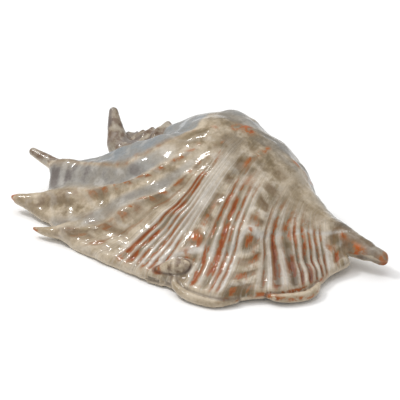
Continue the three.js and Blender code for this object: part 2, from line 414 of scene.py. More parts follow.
@dataclass
class OuterLip:
    """The flared lip: a fan of growth lines from the spire round to the canal.

    Attributes:
        whorls: The coiled body that it grows on.
        lines: Crest x, y and rim x, y, z of each growth line.
        thickness: Half thickness against the share from rim to crest.
        spire_end: Growth lines, and the share of the thickness that the lip has there.
        rim_slope: Slope at the rim, as a share of the mean slope.
        crest_slope: Slope at the crest, likewise.
        crest_sink: How far the crest lies inside the last whorl.
        steepest: Square of the slope above which thickness is no longer corrected for it.
        soft_rounds: How often that correction is softened.
        ridges: The ridges that lead into the fingers.
        rim_groove: Radius of the groove between the two layers of the rim, against the growth line.
        groove_in: How far inside the outline that groove's middle is.
        groove_down: How far below the middle of the thickness it is.
        under_lip: How far the lower layer reaches past the upper one, against the growth line.
        routes: Routes of the ribs.
        pitch: Spacing of the plan on which the lip is worked out once.
        low: The plan's lowest corner.
        high: The plan's highest corner.
        maps: The worked-out plan, by name.
    """

    whorls: Whorls
    lines: Knots = (
        (-46, -4, -55, -7, 26.5), (-40, -7, -57, -15, 20.5), (-30, -9, -66, -23, 17.6),
        (-22, -10, -78, -28, 16), (-17, -10, -78, -36, 12), (-13, -10, -71, -46, 9.5),
        (-9, -10, -55, -59, 5.4), (-5, -10, -42, -65.5, 4.4), (2, -10, -22, -67, 4.8),
        (10, -9, -4, -68, 5.2), (22, -9, 15, -67.8, 5.6), (33, -9, 34, -67.6, 6.0),
        (40, -8, 45, -65, 6.2), (45, -7, 53, -55.5, 6.2), (50, -6, 65, -44.5, 6.4),
        (55, -5, 72, -33.5, 6.4), (62, -3, 73.5, -20, 6.8), (68, -1, 76, -8, 8.4),
    )
    thickness: Profile = Profile((
        (0, 2.6), (0.1, 2.8), (0.3, 3.4), (0.5, 3.8), (0.7, 3.2), (0.85, 2.6), (1, 2.4),
    ))
    spire_end: tuple = ((0, 2, 4, 17), (0.8, 0.85, 1, 1))
    rim_slope: float = 0.42
    crest_slope: float = 0.35
    crest_sink: float = 0.6
    steepest: float = 2.4
    soft_rounds: int = 14
    ridges: Sequence[Ridge] = (
        Ridge(3.0, 3.0, 6.5, 1.0), Ridge(5.1, 3.4, 6.0, 0.95),
        Ridge(7.1, 2.6, 6.5, 0.9), Ridge(1.0, 0.8, 5.0, 0.9),
    )
    rim_groove: Profile = Profile((
        (0, 0), (9.2, 0), (9.35, 0.8), (9.75, 0.8), (9.95, 0.1), (10.1, 0.9), (10.6, 0.95), (11.2, 0.5),
        (11.5, 0), (17, 0),
    ))
    groove_in: float = 0.2
    groove_down: float = 0.1
    under_lip: Profile = Profile((
        (0, 0), (8.9, 0), (9.4, 1.0), (9.9, 0.8), (10.2, 0), (12.4, 0), (13.6, 0.2), (16, 0.4), (17, 0.4),
    ))
    routes: RibRoutes = RibRoutes()
    pitch: float = 0.5
    low: tuple[float, float] = (-104.0, -76.0)
    high: tuple[float, float] = (104.0, 40.0)
    maps: dict = field(default_factory=dict)

    def __post_init__(self) -> None:
        """Works the lip out once on a plan grid, so that it can be read quickly anywhere."""
        self.dense = smooth_path(self.lines)
        self.numbers = np.linspace(0, len(self.lines) - 1, len(self.dense))
        steps = np.linalg.norm(np.diff(self.dense[:, 2:4], axis=0), axis=1)
        self.rim_run = np.concatenate([[0.0], np.cumsum(steps)])
        self.length = np.linalg.norm(self.dense[:, 2:4] - self.dense[:, :2], axis=1)
        radius = self.whorls.profile(self.dense[:, 0])
        rise = np.sqrt(np.maximum(radius**2 - self.dense[:, 1] ** 2, 1.0))
        self.crest_z = self.whorls.axis_z(self.dense[:, 0]) + rise - self.crest_sink
        grids = [np.arange(a, b, self.pitch) for a, b in zip(self.low, self.high)]
        self.shape = tuple(len(g) for g in grids)
        x, y = (g.ravel() for g in np.meshgrid(*grids, indexing="ij"))
        line, share = self.fan(x, y)
        top = self.height(line, share)
        across = np.gradient(top.reshape(self.shape), self.pitch)
        slope = np.minimum(across[0] ** 2 + across[1] ** 2, self.steepest)
        steep = soften(np.sqrt(1.0 + slope), self.soft_rounds).ravel()
        inside = self.outline_distance(x, y)
        worked = {"line": line, "share": share, "top": top, "steep": steep, "inside": inside}
        for name, values in worked.items():
            self.maps[name] = values.reshape(self.shape)

    def fan(self, x: Array, y: Array) -> tuple[Array, Array]:
        """Finds where places of the plan lie on the lip.

        Args:
            x: Plan places.
            y: Plan places.

        Returns:
            The growth line, and the share of the way from rim (0) to crest (1).
        """
        cx, cy, ex, ey = self.dense[:, :4].T
        away = np.array([cx - ex, cy - ey]) / self.length * 10.0
        low, high = np.zeros_like(x), np.full_like(x, self.numbers[-1])
        for _ in range(16):
            middle = 0.5 * (low + high)
            ax = np.interp(middle, self.numbers, cx + away[0])
            ay = np.interp(middle, self.numbers, cy + away[1])
            bx, by = np.interp(middle, self.numbers, ex), np.interp(middle, self.numbers, ey)
            ahead = (bx - ax) * (y - ay) - (by - ay) * (x - ax) > 0
            low, high = np.where(ahead, middle, low), np.where(ahead, high, middle)
        line = 0.5 * (low + high)
        ax, ay, bx, by = (np.interp(line, self.numbers, c) for c in (cx, cy, ex, ey))
        run = (bx - ax) ** 2 + (by - ay) ** 2
        return line, 1.0 - ((x - ax) * (bx - ax) + (y - ay) * (by - ay)) / run

    def rim_place(self, line: Array) -> Array:
        """Length along the rim, in millimetres, at a growth line."""
        return np.interp(line, self.numbers, self.rim_run)

    def height(self, line: Array, share: Array) -> Array:
        """Height of the lip's outer face, with its ridges.

        Args:
            line: Growth lines.
            share: Shares of the lip.

        Returns:
            Heights in millimetres.
        """
        rim_z = np.interp(line, self.numbers, self.dense[:, 4])
        crest_z = np.interp(line, self.numbers, self.crest_z)
        rib = self.routes(line, share)
        inner = np.clip(share, 0.0, 1.0)
        a, b = self.rim_slope, self.crest_slope
        climb = (a + b - 2) * inner**3 + (3 - 2 * a - b) * inner**2 + a * inner
        climb += np.where(share < 0, a * share, 0.0) + np.where(share > 1, b * (share - 1), 0.0)
        total = rim_z + (crest_z - rim_z) * climb
        for ridge in self.ridges:
            off = (self.rim_place(rib) - self.rim_place(ridge.line)) / ridge.width
            total += ridge.height * ease(inner, ridge.fades_at, 0.25) / (1.0 + off**2) ** 1.5
        return total

    def outline_distance(self, x: Array, y: Array) -> Array:
        """Distance inside the lip's outline on the plan, negative outside.

        Args:
            x: Places along the shell.
            y: Places across it.

        Returns:
            Distances, positive inside.
        """
        outline = np.vstack([self.dense[:, 2:4], self.dense[::-1, :2]])
        nearest = np.full(x.shape, 1e9)
        inside = np.zeros(x.shape, bool)
        for (ax, ay), (bx, by) in zip(outline, np.roll(outline, -1, axis=0)):
            ex, ey = bx - ax, by - ay
            along = np.clip(((x - ax) * ex + (y - ay) * ey) / max(ex * ex + ey * ey, 1e-9), 0.0, 1.0)
            nearest = np.minimum(nearest, (x - ax - ex * along) ** 2 + (y - ay - ey * along) ** 2)
            crossed = (ay > y) != (by > y)
            inside ^= crossed & (x < ex * (y - ay) / (ey + 1e-12) + ax)
        return np.where(inside, 1.0, -1.0) * np.sqrt(nearest)

    def read(self, x: Array, y: Array) -> dict[str, Array]:
        """Reads the worked-out plan at any places.

        Args:
            x: Places along the shell.
            y: Places across it.

        Returns:
            The plan's values, by name.
        """
        u = np.clip((x - self.low[0]) / self.pitch, 0, self.shape[0] - 1.001)
        v = np.clip((y - self.low[1]) / self.pitch, 0, self.shape[1] - 1.001)
        i, j = u.astype(int), v.astype(int)
        p, q = u - i, v - j
        found = {}
        for name, grid in self.maps.items():
            near = grid[i, j] * (1 - q) + grid[i, j + 1] * q
            far = grid[i + 1, j] * (1 - q) + grid[i + 1, j + 1] * q
            found[name] = near * (1 - p) + far * p
        return found

    def field(self, z: Array, plan: dict[str, Array]) -> Array:
        """Distances to the lip.

        Args:
            z: Heights of the points.
            plan: What read() gives at the points.

        Returns:
            Distances, with the rim rounded and its two layers parted by a groove.
        """
        half = self.thickness(np.clip(plan["share"], 0.0, 1.0)) * np.interp(plan["line"], *self.spire_end)
        level = (z - plan["top"]) / plan["steep"] + half
        rim = ease(plan["share"], 0.5, 0.2)
        inside = plan["inside"] + rim * self.under_lip(plan["line"]) * ease(level / half, 0.3, -0.3)
        short = np.maximum(half - inside, 0.0)
        slab = np.hypot(short, level) - half
        groove = self.groove_distance(plan["inside"], level) - self.rim_groove(plan["line"]) * rim
        return smooth_cut(slab, groove, 0.6)

    def groove_distance(self, inside: Array, level: Array) -> Array:
        """Distances to the middle of the groove between the rim's two layers."""
        return np.hypot(inside - self.groove_in, level + self.groove_down)


@dataclass(frozen=True)
class Horn:
    """A tapering round limb: a finger, a hook or the canal.

    Attributes:
        name: Its name.
        route: Centre line as x, y, z and radius.
        fillet: Width of the fillet where it joins the shell.
        steps: Pieces of the centre line between two of its points.
        room: Distance beyond its radius and fillet up to which it is worked out.
    """

    name: str
    route: Knots
    fillet: float
    steps: int = 8
    room: float = 9.0

    def near(self, points: Array) -> Array:
        """Which points lie close enough to matter.

        Args:
            points: Places, in millimetres.

        Returns:
            True for each point that is.
        """
        stops = np.asarray(self.route, float)
        room = stops[:, 3].max() + self.fillet + self.room
        low, high = stops[:, :3].min(axis=0) - room, stops[:, :3].max(axis=0) + room
        return np.all((points > low) & (points < high), axis=1)

    def measure(self, points: Array) -> tuple[Array, Array]:
        """Distances to the limb, and the length along it back from its tip.

        Args:
            points: Places, in millimetres.

        Returns:
            Distances, negative inside, and lengths.
        """
        path = smooth_path(self.route, self.steps)
        lengths = np.linalg.norm(np.diff(path[:, :3], axis=0), axis=1)
        left = lengths.sum()
        nearest = np.full(len(points), 1e9)
        back = np.zeros(len(points))
        for a, b, length in zip(path[:-1], path[1:], lengths):
            way = (b[:3] - a[:3]) / length
            reach = points - a[:3]
            along = np.clip(reach @ way, 0.0, length)
            gap = np.linalg.norm(reach - along[:, None] * way, axis=1)
            gap -= a[3] + (b[3] - a[3]) * along / length
            closer = gap < nearest
            nearest = np.where(closer, gap, nearest)
            back = np.where(closer, left - along, back)
            left -= length
        return nearest, back


FINGERS = (
    Horn("spire_finger", (
        (-41, -9, 28.5, 3.6), (-48.5, -10.5, 25.8, 5.2), (-54, -10, 26.8, 5.6), (-57.6, -7.4, 31.2, 4.4),
        (-60.6, -4.6, 36.0, 3.3), (-63.0, -2.2, 40, 2.2),
    ), 5.0),
    Horn("upper_finger", (
        (-36, -26, 26, 3.4), (-48, -27, 20.6, 4.0), (-62, -27.5, 16.8, 4.2), (-76, -27.5, 15.6, 3.6),
        (-87, -27, 16.8, 2.8), (-95, -27, 18.6, 2.2),
    ), 5.0),
    Horn("middle_finger", (
        (-38, -33, 18.5, 3.2), (-49, -38, 13.4, 4.0), (-60, -42.5, 10.2, 4.4), (-71, -47, 8.4, 3.8),
        (-80, -50.5, 7.6, 2.5), (-86.5, -53, 7.6, 1.0),
    ), 4.0),
    Horn("middle_keel", (
        (-54, -49, 5.0, 3.4), (-61, -51.5, 4.0, 3.2), (-69, -52.5, 3.8, 2.8), (-77, -52.5, 5.0, 1.9),
        (-83, -52.5, 6.6, 1.0),
    ), 4.0),
    Horn("lower_finger", (
        (-24, -40, 15, 2.8), (-33, -47, 9.6, 3.4), (-41, -55, 6.4, 3.6), (-50, -61.5, 4.6, 3.0),
        (-57, -64.5, 4.0, 2.2), (-62.5, -66, 4.4, 1.0),
    ), 4.0),
)
HOOKS = (
    Horn("front_hook", (
        (19.4, -59.2, 8.8, 3.8), (16.8, -61.0, 8.9, 3.8), (13.0, -62.8, 7.9, 2.8), (8.9, -64.6, 6.0, 1.3),
    ), 0.7),
    Horn("lip_fold", (
        (18, -62.5, 6.4, 1.3), (19.3, -65.6, 5.4, 1.7), (21.8, -67.9, 4.2, 1.9), (26, -69.2, 3.1, 2.0),
        (31.5, -69.4, 2.5, 2.1), (37, -68.7, 2.3, 2.1), (42, -67, 2.3, 2.0), (46, -63.8, 2.5, 1.8),
        (49.5, -60, 2.8, 1.2),
    ), 0.8),
    Horn("canal_fold", (
        (59.5, -50.0, 3.4, 1.2), (64, -48.4, 3.2, 1.8), (69, -44.2, 3.0, 2.2), (72.8, -39, 3.0, 2.2),
        (74.2, -34.2, 3.5, 2.0), (73.4, -30, 4.2, 1.2),
    ), 0.8),
)
CANAL = Horn("canal", (
    (50, -2, 13.6, 8.0), (62, -1, 12.2, 6.2), (72, -0.5, 10.8, 4.8), (81, 0, 9.2, 3.7),
    (89, 0.5, 7.6, 3.6),
), 4.0)
CANAL_SLIT = Horn("canal_slit", (
    (77, -7.4, 7.2, 1.6), (80.5, -5.8, 7.6, 2.9), (85.5, -3.6, 6.8, 2.5), (91, -1.9, 5.4, 2.0),
    (99, -1.0, 4.4, 2.2),
), 0.8)


@dataclass
class ShellForm:
    """The whole shell as one field of distances.

    Attributes:
        whorls: The coiled body.
        seam: Size of the fillet between the lip and the body.
        ground: Height at which the shell is cut flat, to rest on.
        ground_edge: Size of the rounding of that cut.
    """

    whorls: Whorls = field(default_factory=Whorls)
    seam: float = 2.5
    ground: float = 0.0
    ground_edge: float = 0.3

    def __post_init__(self) -> None:
        """Grows the lip on the whorls."""
        self.lip = OuterLip(self.whorls)

    def parts(self, points: Array) -> tuple[Array, Array, dict[str, Array]]:
        """Distances to the lip and to the whorls, and the lip's plan."""
        plan = self.lip.read(points[:, 0], points[:, 1])
        return self.lip.field(points[:, 2], plan), self.whorls.field(points), plan

    def __call__(self, points: Array) -> Array:
        """Distances to the shell.

        Args:
            points: Places, in millimetres.

        Returns:
            Distances, negative inside.
        """
        lip, whorls, _ = self.parts(points)
        total = smooth_union(lip, whorls, self.seam)
        for horn in (*FINGERS, *HOOKS, CANAL):
            close = horn.near(points)
            gap, _ = horn.measure(points[close])
            total[close] = smooth_union(total[close], gap, horn.fillet)
        close = CANAL_SLIT.near(points)
        gap, _ = CANAL_SLIT.measure(points[close])
        total[close] = smooth_cut(total[close], gap, CANAL_SLIT.fillet)
        return smooth_cut(total, points[:, 2] - self.ground, self.ground_edge)

    def normals(self, points: Array, step: float = 0.15) -> Array:
        """Directions straight out of the shell.

        Args:
            points: Places, in millimetres.
            step: Step over which the slopes are taken.

        Returns:
            Directions of length one.
        """
        slopes = np.empty_like(points)
        for axis in range(3):
            shift = np.zeros(3)
            shift[axis] = step
            slopes[:, axis] = self(points + shift) - self(points - shift)
        return slopes / (np.linalg.norm(slopes, axis=1)[:, None] + 1e-12)

    def settle(self, points: Array, rounds: int) -> Array:
        """Moves points on to the surface along its normals.

        Args:
            points: Places, in millimetres.
            rounds: How many times they are moved.

        Returns:
            The moved points.
        """
        for _ in range(rounds):
            points = points - self.normals(points) * np.clip(self(points), -0.6, 0.6)[:, None] * 0.9
        return points


@dataclass(frozen=True)
class SurfaceNet:
    """Draws the zero level of a field as a net of quads.

    Attributes:
        cell: Spacing of the grid that the field is read on.
        low: The grid's lowest corner.
        high: The grid's highest corner.
    """

    cell: float
    low: tuple[float, float, float] = (-100.0, -75.0, -3.0)
    high: tuple[float, float, float] = (99.0, 34.0, 59.0)

    def sample(self, form: ShellForm) -> Array:
        """Values of the field on a grid.

        Args:
            form: The shell's form.

        Returns:
            The field on the grid.
        """
        sides = [np.arange(a, b, self.cell) for a, b in zip(self.low, self.high)]
        values = np.empty([len(s) for s in sides], np.float32)
        for i, x in enumerate(sides[0]):
            y, z = (g.ravel() for g in np.meshgrid(sides[1], sides[2], indexing="ij"))
            points = np.column_stack([np.full(y.shape, x), y, z])
            values[i] = form(points).reshape(values.shape[1:])
        self.bridge(values)
        return values

    def bridge(self, values: Array, rounds: int = 6) -> None:
        """Fills places where the solid meets itself only along an edge, which a net can't follow.

        Args:
            values: The field on the grid, which is changed.
            rounds: How many times it is gone through.
        """
        filled = -0.05 * self.cell
        for _ in range(rounds):
            for u, v in ((0, 1), (1, 2), (0, 2)):
                corners = []
                for i, j in ((0, 0), (1, 1), (0, 1), (1, 0)):
                    part = [slice(None)] * 3
                    part[u], part[v] = slice(i, i - 1 or None), slice(j, j - 1 or None)
                    corners.append(values[tuple(part)])
                first, across, second, other = (c < 0 for c in corners)
                crossed = (first == across) & (second == other) & (first != second)
                for solid, corner in ((first, corners[0]), (second, corners[2])):
                    corner[crossed & ~solid] = filled

    def draw(self, values: Array) -> tuple[Array, Array]:
        """Points and quads of the zero level.

        Args:
            values: The field on the grid, positive all round its border.

        Returns:
            Points, and quads as rows of four point numbers.
        """
        solid = values < 0
        corners = [(i, j, k) for i in (0, 1) for j in (0, 1) for k in (0, 1)]
        inner = tuple(n - 1 for n in solid.shape)
        count = sum(
            solid[i:inner[0] + i, j:inner[1] + j, k:inner[2] + k].astype(np.int8) for i, j, k in corners
        )
        cells = np.argwhere((count > 0) & (count < 8))
        numbers = np.full(inner, -1, np.int64)
        numbers[tuple(cells.T)] = np.arange(len(cells))
        at = {c: values[tuple((cells + c).T)] for c in corners}
        total, crossings = np.zeros((len(cells), 3)), np.zeros(len(cells))
        for corner in corners:
            for axis in (a for a in range(3) if corner[a] == 0):
                other = tuple(1 if a == axis else corner[a] for a in range(3))
                first, second = at[corner], at[other]
                crossed = (first < 0) != (second < 0)
                place = np.tile(np.array(corner, float), (len(cells), 1))
                place[:, axis] = np.where(crossed, first / np.where(crossed, first - second, 1.0), 0.0)
                total += np.where(crossed[:, None], place, 0.0)
                crossings += crossed
        points = np.array(self.low) + self.cell * (cells + total / crossings[:, None])
        return self.largest(points, self.quads(solid, numbers))

    def largest(self, points: Array, quads: Array) -> tuple[Array, Array]:
        """Keeps the outer skin, without the small pockets that a fold can shut in.

        Args:
            points: The net's points.
            quads: The net's quads.

        Returns:
            The points and quads of the largest connected net.
        """
        label, before = np.arange(len(points)), None
        while before is None or (label != before).any():
            before = label.copy()
            np.minimum.at(label, quads.ravel(), np.repeat(label[quads].min(axis=1), 4))
            label = label[label]
        keep = label == np.bincount(label).argmax()
        numbers = np.cumsum(keep) - 1
        return points[keep], numbers[quads[keep[quads[:, 0]]]]

    def quads(self, solid: Array, numbers: Array) -> Array:
        """Joins the cells round every crossed grid edge into a quad that faces out.

        Args:
            solid: Which grid points are inside.
            numbers: Each cell's point number.

        Returns:
            The quads.
        """
        found = []
        for axis in range(3):
            side = [slice(1, -1)] * 3
            side[axis] = slice(0, -1)
            ahead = list(side)
            ahead[axis] = slice(1, None)
            first, second = solid[tuple(side)], solid[tuple(ahead)]
            edges = np.argwhere(first != second)
            leaving = first[tuple(edges.T)]
            u, v = (axis + 1) % 3, (axis + 2) % 3
            edges[:, u] += 1
            edges[:, v] += 1
            ring = []
            for back_u, back_v in ((1, 1), (0, 1), (0, 0), (1, 0)):
                cell = edges.copy()
                cell[:, u] -= back_u
                cell[:, v] -= back_v
                ring.append(numbers[tuple(cell.T)])
            quads = np.stack(ring, axis=1)
            quads[~leaving] = quads[~leaving][:, ::-1]
            found.append(quads)
        return np.vstack(found)


@dataclass(frozen=True)
class Groove:
    """A groove between two ribs of the lip.

    Attributes:
        line: The growth line that it follows.
        width: Its half width, in growth lines.
        depth: How deep it is.
        rust: How much rust colour lies in it.
        top: The share of the lip where it has faded.
    """

    line: float
    width: float
    depth: float
    rust: float
    top: float = 0.95


@dataclass(frozen=True)
class Streak:
    """A patch of rust colour on the lip or the whorl.

    Attributes:
        line: Growth line of its middle.
        share: Share of the lip of its middle.
        broad: Half width, in growth lines.
        long: Half length, as a share of the lip.
        strength: How much colour it has.
    """

    line: float
    share: float
    broad: float
    long: float
    strength: float


@dataclass(frozen=True)
class Ornament:
    """Ribs, grooves, growth steps and the bands between them, over growth line and share.

    Attributes:
        grooves: The grooves that part the ribs.
        bunches: Growth lines of the bunches of ribs.
        smooth_bands: Growth lines of the smooth bands between the bunches.
        grey_valley: Growth lines of the violet grey valley between the upper ridges.
        pale_valley: Growth lines of the paler one beside it.
        blotched_band: Growth lines of the blotched band near the rim.
        streaks: Patches of rust away from the grooves.
        step: Share of the lip at which each growth line has its growth step.
        step_height: Height of that step.
        striae_per_line: Fine growth lines to each growth line.
        striae_waves: Pace and lag of the waves that they are made of.
        striae_depth: Their depth.
        wave_length: Length of the low waves that follow the rim.
        wave_height: Their height.
        unevenness: Length and height of the ripples in the whole surface.
    """

    grooves: Sequence[Groove] = (
        Groove(7.75, 0.09, 0.25, 0.3), Groove(8.5, 0.095, 0.8, 1.0), Groove(8.8, 0.1, 0.9, 1.0),
        Groove(9.1, 0.065, 0.6, 0.75, 0.62), Groove(9.35, 0.065, 0.55, 0.9, 0.6),
        Groove(9.6, 0.055, 0.5, 0.7, 0.5), Groove(9.85, 0.06, 0.5, 0.85, 0.5),
        Groove(11.0, 0.1, 0.7, 1.0), Groove(11.35, 0.11, 0.8, 1.0), Groove(11.62, 0.07, 0.5, 0.75),
        Groove(11.9, 0.065, 0.45, 0.6), Groove(13.45, 0.07, 0.55, 0.6), Groove(13.8, 0.1, 0.7, 1.0),
        Groove(14.3, 0.15, 0.95, 1.0), Groove(14.62, 0.07, 0.55, 0.9), Groove(15.0, 0.1, 0.75, 1.0),
        Groove(15.28, 0.06, 0.45, 0.85), Groove(15.58, 0.07, 0.5, 0.8), Groove(15.85, 0.06, 0.4, 0.7),
        Groove(16.45, 0.07, 0.35, 0.3),
    )
    bunches: Sequence[tuple[float, float]] = ((8.3, 10.0), (10.85, 12.1), (13.3, 16.2))
    smooth_bands: Sequence[tuple[float, float]] = (
        (7.1, 8.2), (10.08, 10.78), (12.2, 13.2), (16.3, 17.0),
    )
    grey_valley: tuple[float, float] = (3.25, 4.75)
    pale_valley: tuple[float, float] = (5.95, 6.85)
    blotched_band: tuple[float, float] = (5.9, 7.6)
    streaks: Sequence[Streak] = (
        Streak(7.6, 1.16, 0.6, 0.042, 2.4), Streak(8.9, 1.2, 0.5, 0.042, 2.6),
        Streak(10.76, 0.94, 0.15, 0.05, 1.0), Streak(10.9, 1.03, 0.16, 0.05, 1.2),
        Streak(11.06, 1.13, 0.14, 0.045, 1.0), Streak(3.57, 0.95, 0.16, 0.025, 0.9),
        Streak(7.9, 0.95, 0.2, 0.022, 0.6), Streak(5.0, 1.03, 0.4, 0.02, 0.5),
        Streak(12.46, 0.54, 0.16, 0.045, 1.0), Streak(12.55, 0.66, 0.14, 0.04, 0.5),
        Streak(12.9, 0.42, 0.14, 0.05, 0.5), Streak(12.9, 0.3, 0.2, 0.04, 0.4),
        Streak(12.75, 0.16, 0.12, 0.03, 0.9), Streak(10.4, 0.45, 0.14, 0.045, 0.7),
        Streak(10.35, 0.35, 0.16, 0.04, 1.0), Streak(10.4, 0.56, 0.14, 0.045, 0.5),
        Streak(10.3, 0.24, 0.2, 0.04, 0.5), Streak(16.2, 0.5, 0.2, 0.12, 0.6),
    )
    step: Profile = Profile((
        (7.5, 0.05), (8.5, 0.06), (9.5, 0.1), (10.3, 0.25), (11, 0.315), (11.5, 0.33), (12, 0.46),
        (12.4, 0.57), (13.2, 0.55), (13.9, 0.6), (14.7, 0.68), (15.3, 0.74), (15.8, 0.76), (17, 0.8),
    ))
    step_height: float = 0.3
    striae_per_line: float = 8.5
    striae_waves: Sequence[tuple[float, float]] = ((1, 0), (1.37, 2), (0.61, 4))
    striae_depth: float = 0.07
    wave_length: float = 8.2
    wave_height: float = 0.16
    unevenness: Sequence[tuple[float, float]] = ((19.0, 0.42), (8.0, 0.2), (4.2, 0.035))

    def within(self, line: Array, bands: Sequence[tuple[float, float]], soft: float = 0.12) -> Array:
        """How much growth lines lie within any of the bands.

        Args:
            line: The growth lines.
            bands: First and last growth line of each band.
            soft: Width of their soft edges.

        Returns:
            Shares from 0 to 1.
        """
        total = np.zeros_like(line)
        for first, last in bands:
            entered = ease(line, first - soft, first + soft)
            total = np.maximum(total, entered * ease(line, last + soft, last - soft))
        return total

    def strength(self, share: Array) -> Array:
        """How strong the ribs are on the way from the rim over the crest to the back.

        Args:
            share: Shares of the lip.

        Returns:
            Shares from 0 to 1.
        """
        low = ease(share, 0.01, 0.09)
        high = 1.0 - 0.6 * ease(share, 0.42, 0.8)
        return low * high * (1.0 - 0.55 * ease(share, 0.95, 1.2))

    def furrow(self, line: Array, share: Array) -> tuple[Array, Array]:
        """Depth of the grooves, and how much of each place is rust-filled groove.

        Args:
            line: Growth lines.
            share: Shares of the lip.

        Returns:
            Depths in millimetres, and shares from 0 to 1.
        """
        depth, rust = np.zeros_like(line), np.zeros_like(line)
        strong = self.strength(share)
        for groove in self.grooves:
            dip = swell(line - groove.line, groove.width)
            fade = ease(share, groove.top + 0.1, groove.top - 0.35)
            depth = np.maximum(depth, dip * groove.depth * strong * (0.35 + 0.65 * fade))
            rust = np.maximum(rust, swell(line - groove.line, groove.width * 1.05) * groove.rust * fade)
        return depth, rust * ease(share, 0.0, 0.06)

    def striae(self, line: Array, share: Array, run: Array) -> Array:
        """Heights of the fine growth lines.

        Args:
            line: Growth lines.
            share: Shares of the lip.
            run: Lengths from the rim, in millimetres.

        Returns:
            Heights in millimetres.
        """
        wander = line + 0.03 * np.sin(run / 9.0 + line * 3.0)
        pitch = 2 * math.pi * wander * self.striae_per_line
        waves = sum(np.cos(pitch * pace + lag) for pace, lag in self.striae_waves) / len(self.striae_waves)
        return waves * self.striae_depth * ease(line, 1.0, 2.5) * (1.0 - 0.6 * ease(share, 0.1, 0.0))

    def stained(self, line: Array, share: Array) -> Array:
        """How much rust colour the separate streaks give.

        Args:
            line: Growth lines.
            share: Shares of the lip.

        Returns:
            Amounts from 0 up, which may pass 1.
        """
        total = np.zeros_like(line)
        for streak in self.streaks:
            spot = swell(line - streak.line, streak.broad) * swell(share - streak.share, streak.long)
            total = np.maximum(total, spot * streak.strength)
        return total


@dataclass(frozen=True)
class Zones:
    """Spans over which the zones of colour fade in or out, from their first value to their second.

    Spans named after a line are in growth lines; the others are shares of the lip, unless they say so.
    Each row of notch is a rust spot by the rim's notch: its x and half width, its y and half width,
    the heights between which it begins, and its strength.
    """

    to_whorl: Span = (0.9, 1.1)
    crown: Span = (0.78, 0.98)
    crown_line: Span = (3.1, 4.2)
    back: Span = (1.02, 1.42)
    shoulder_line: Span = (3.1, 2.75)
    past_fingers_line: Span = (8.2, 10.0)
    canal_side_line: Span = (11.3, 13.0)
    last_bunch_line: Span = (13.0, 13.6)
    rim_edge_line: Span = (12.0, 12.6)
    rim_edge_end_line: Span = (16.2, 15.4)
    lower_half: Span = (0.7, 0.5)
    upper_end: Span = (0.9, 0.6)
    outer_edge_mm: Span = (3.2, 0.6)
    rim_face_mm: Span = (1.6, 0.4)
    tip_mm: Span = (4.0, 1.0)
    notch: Sequence[tuple] = (
        (79.0, 4.5, -4.6, 1.7, 8.0, 10.0, 1.2), (70.0, 2.0, -4.0, 1.5, 10.0, 13.0, 0.9),
    )


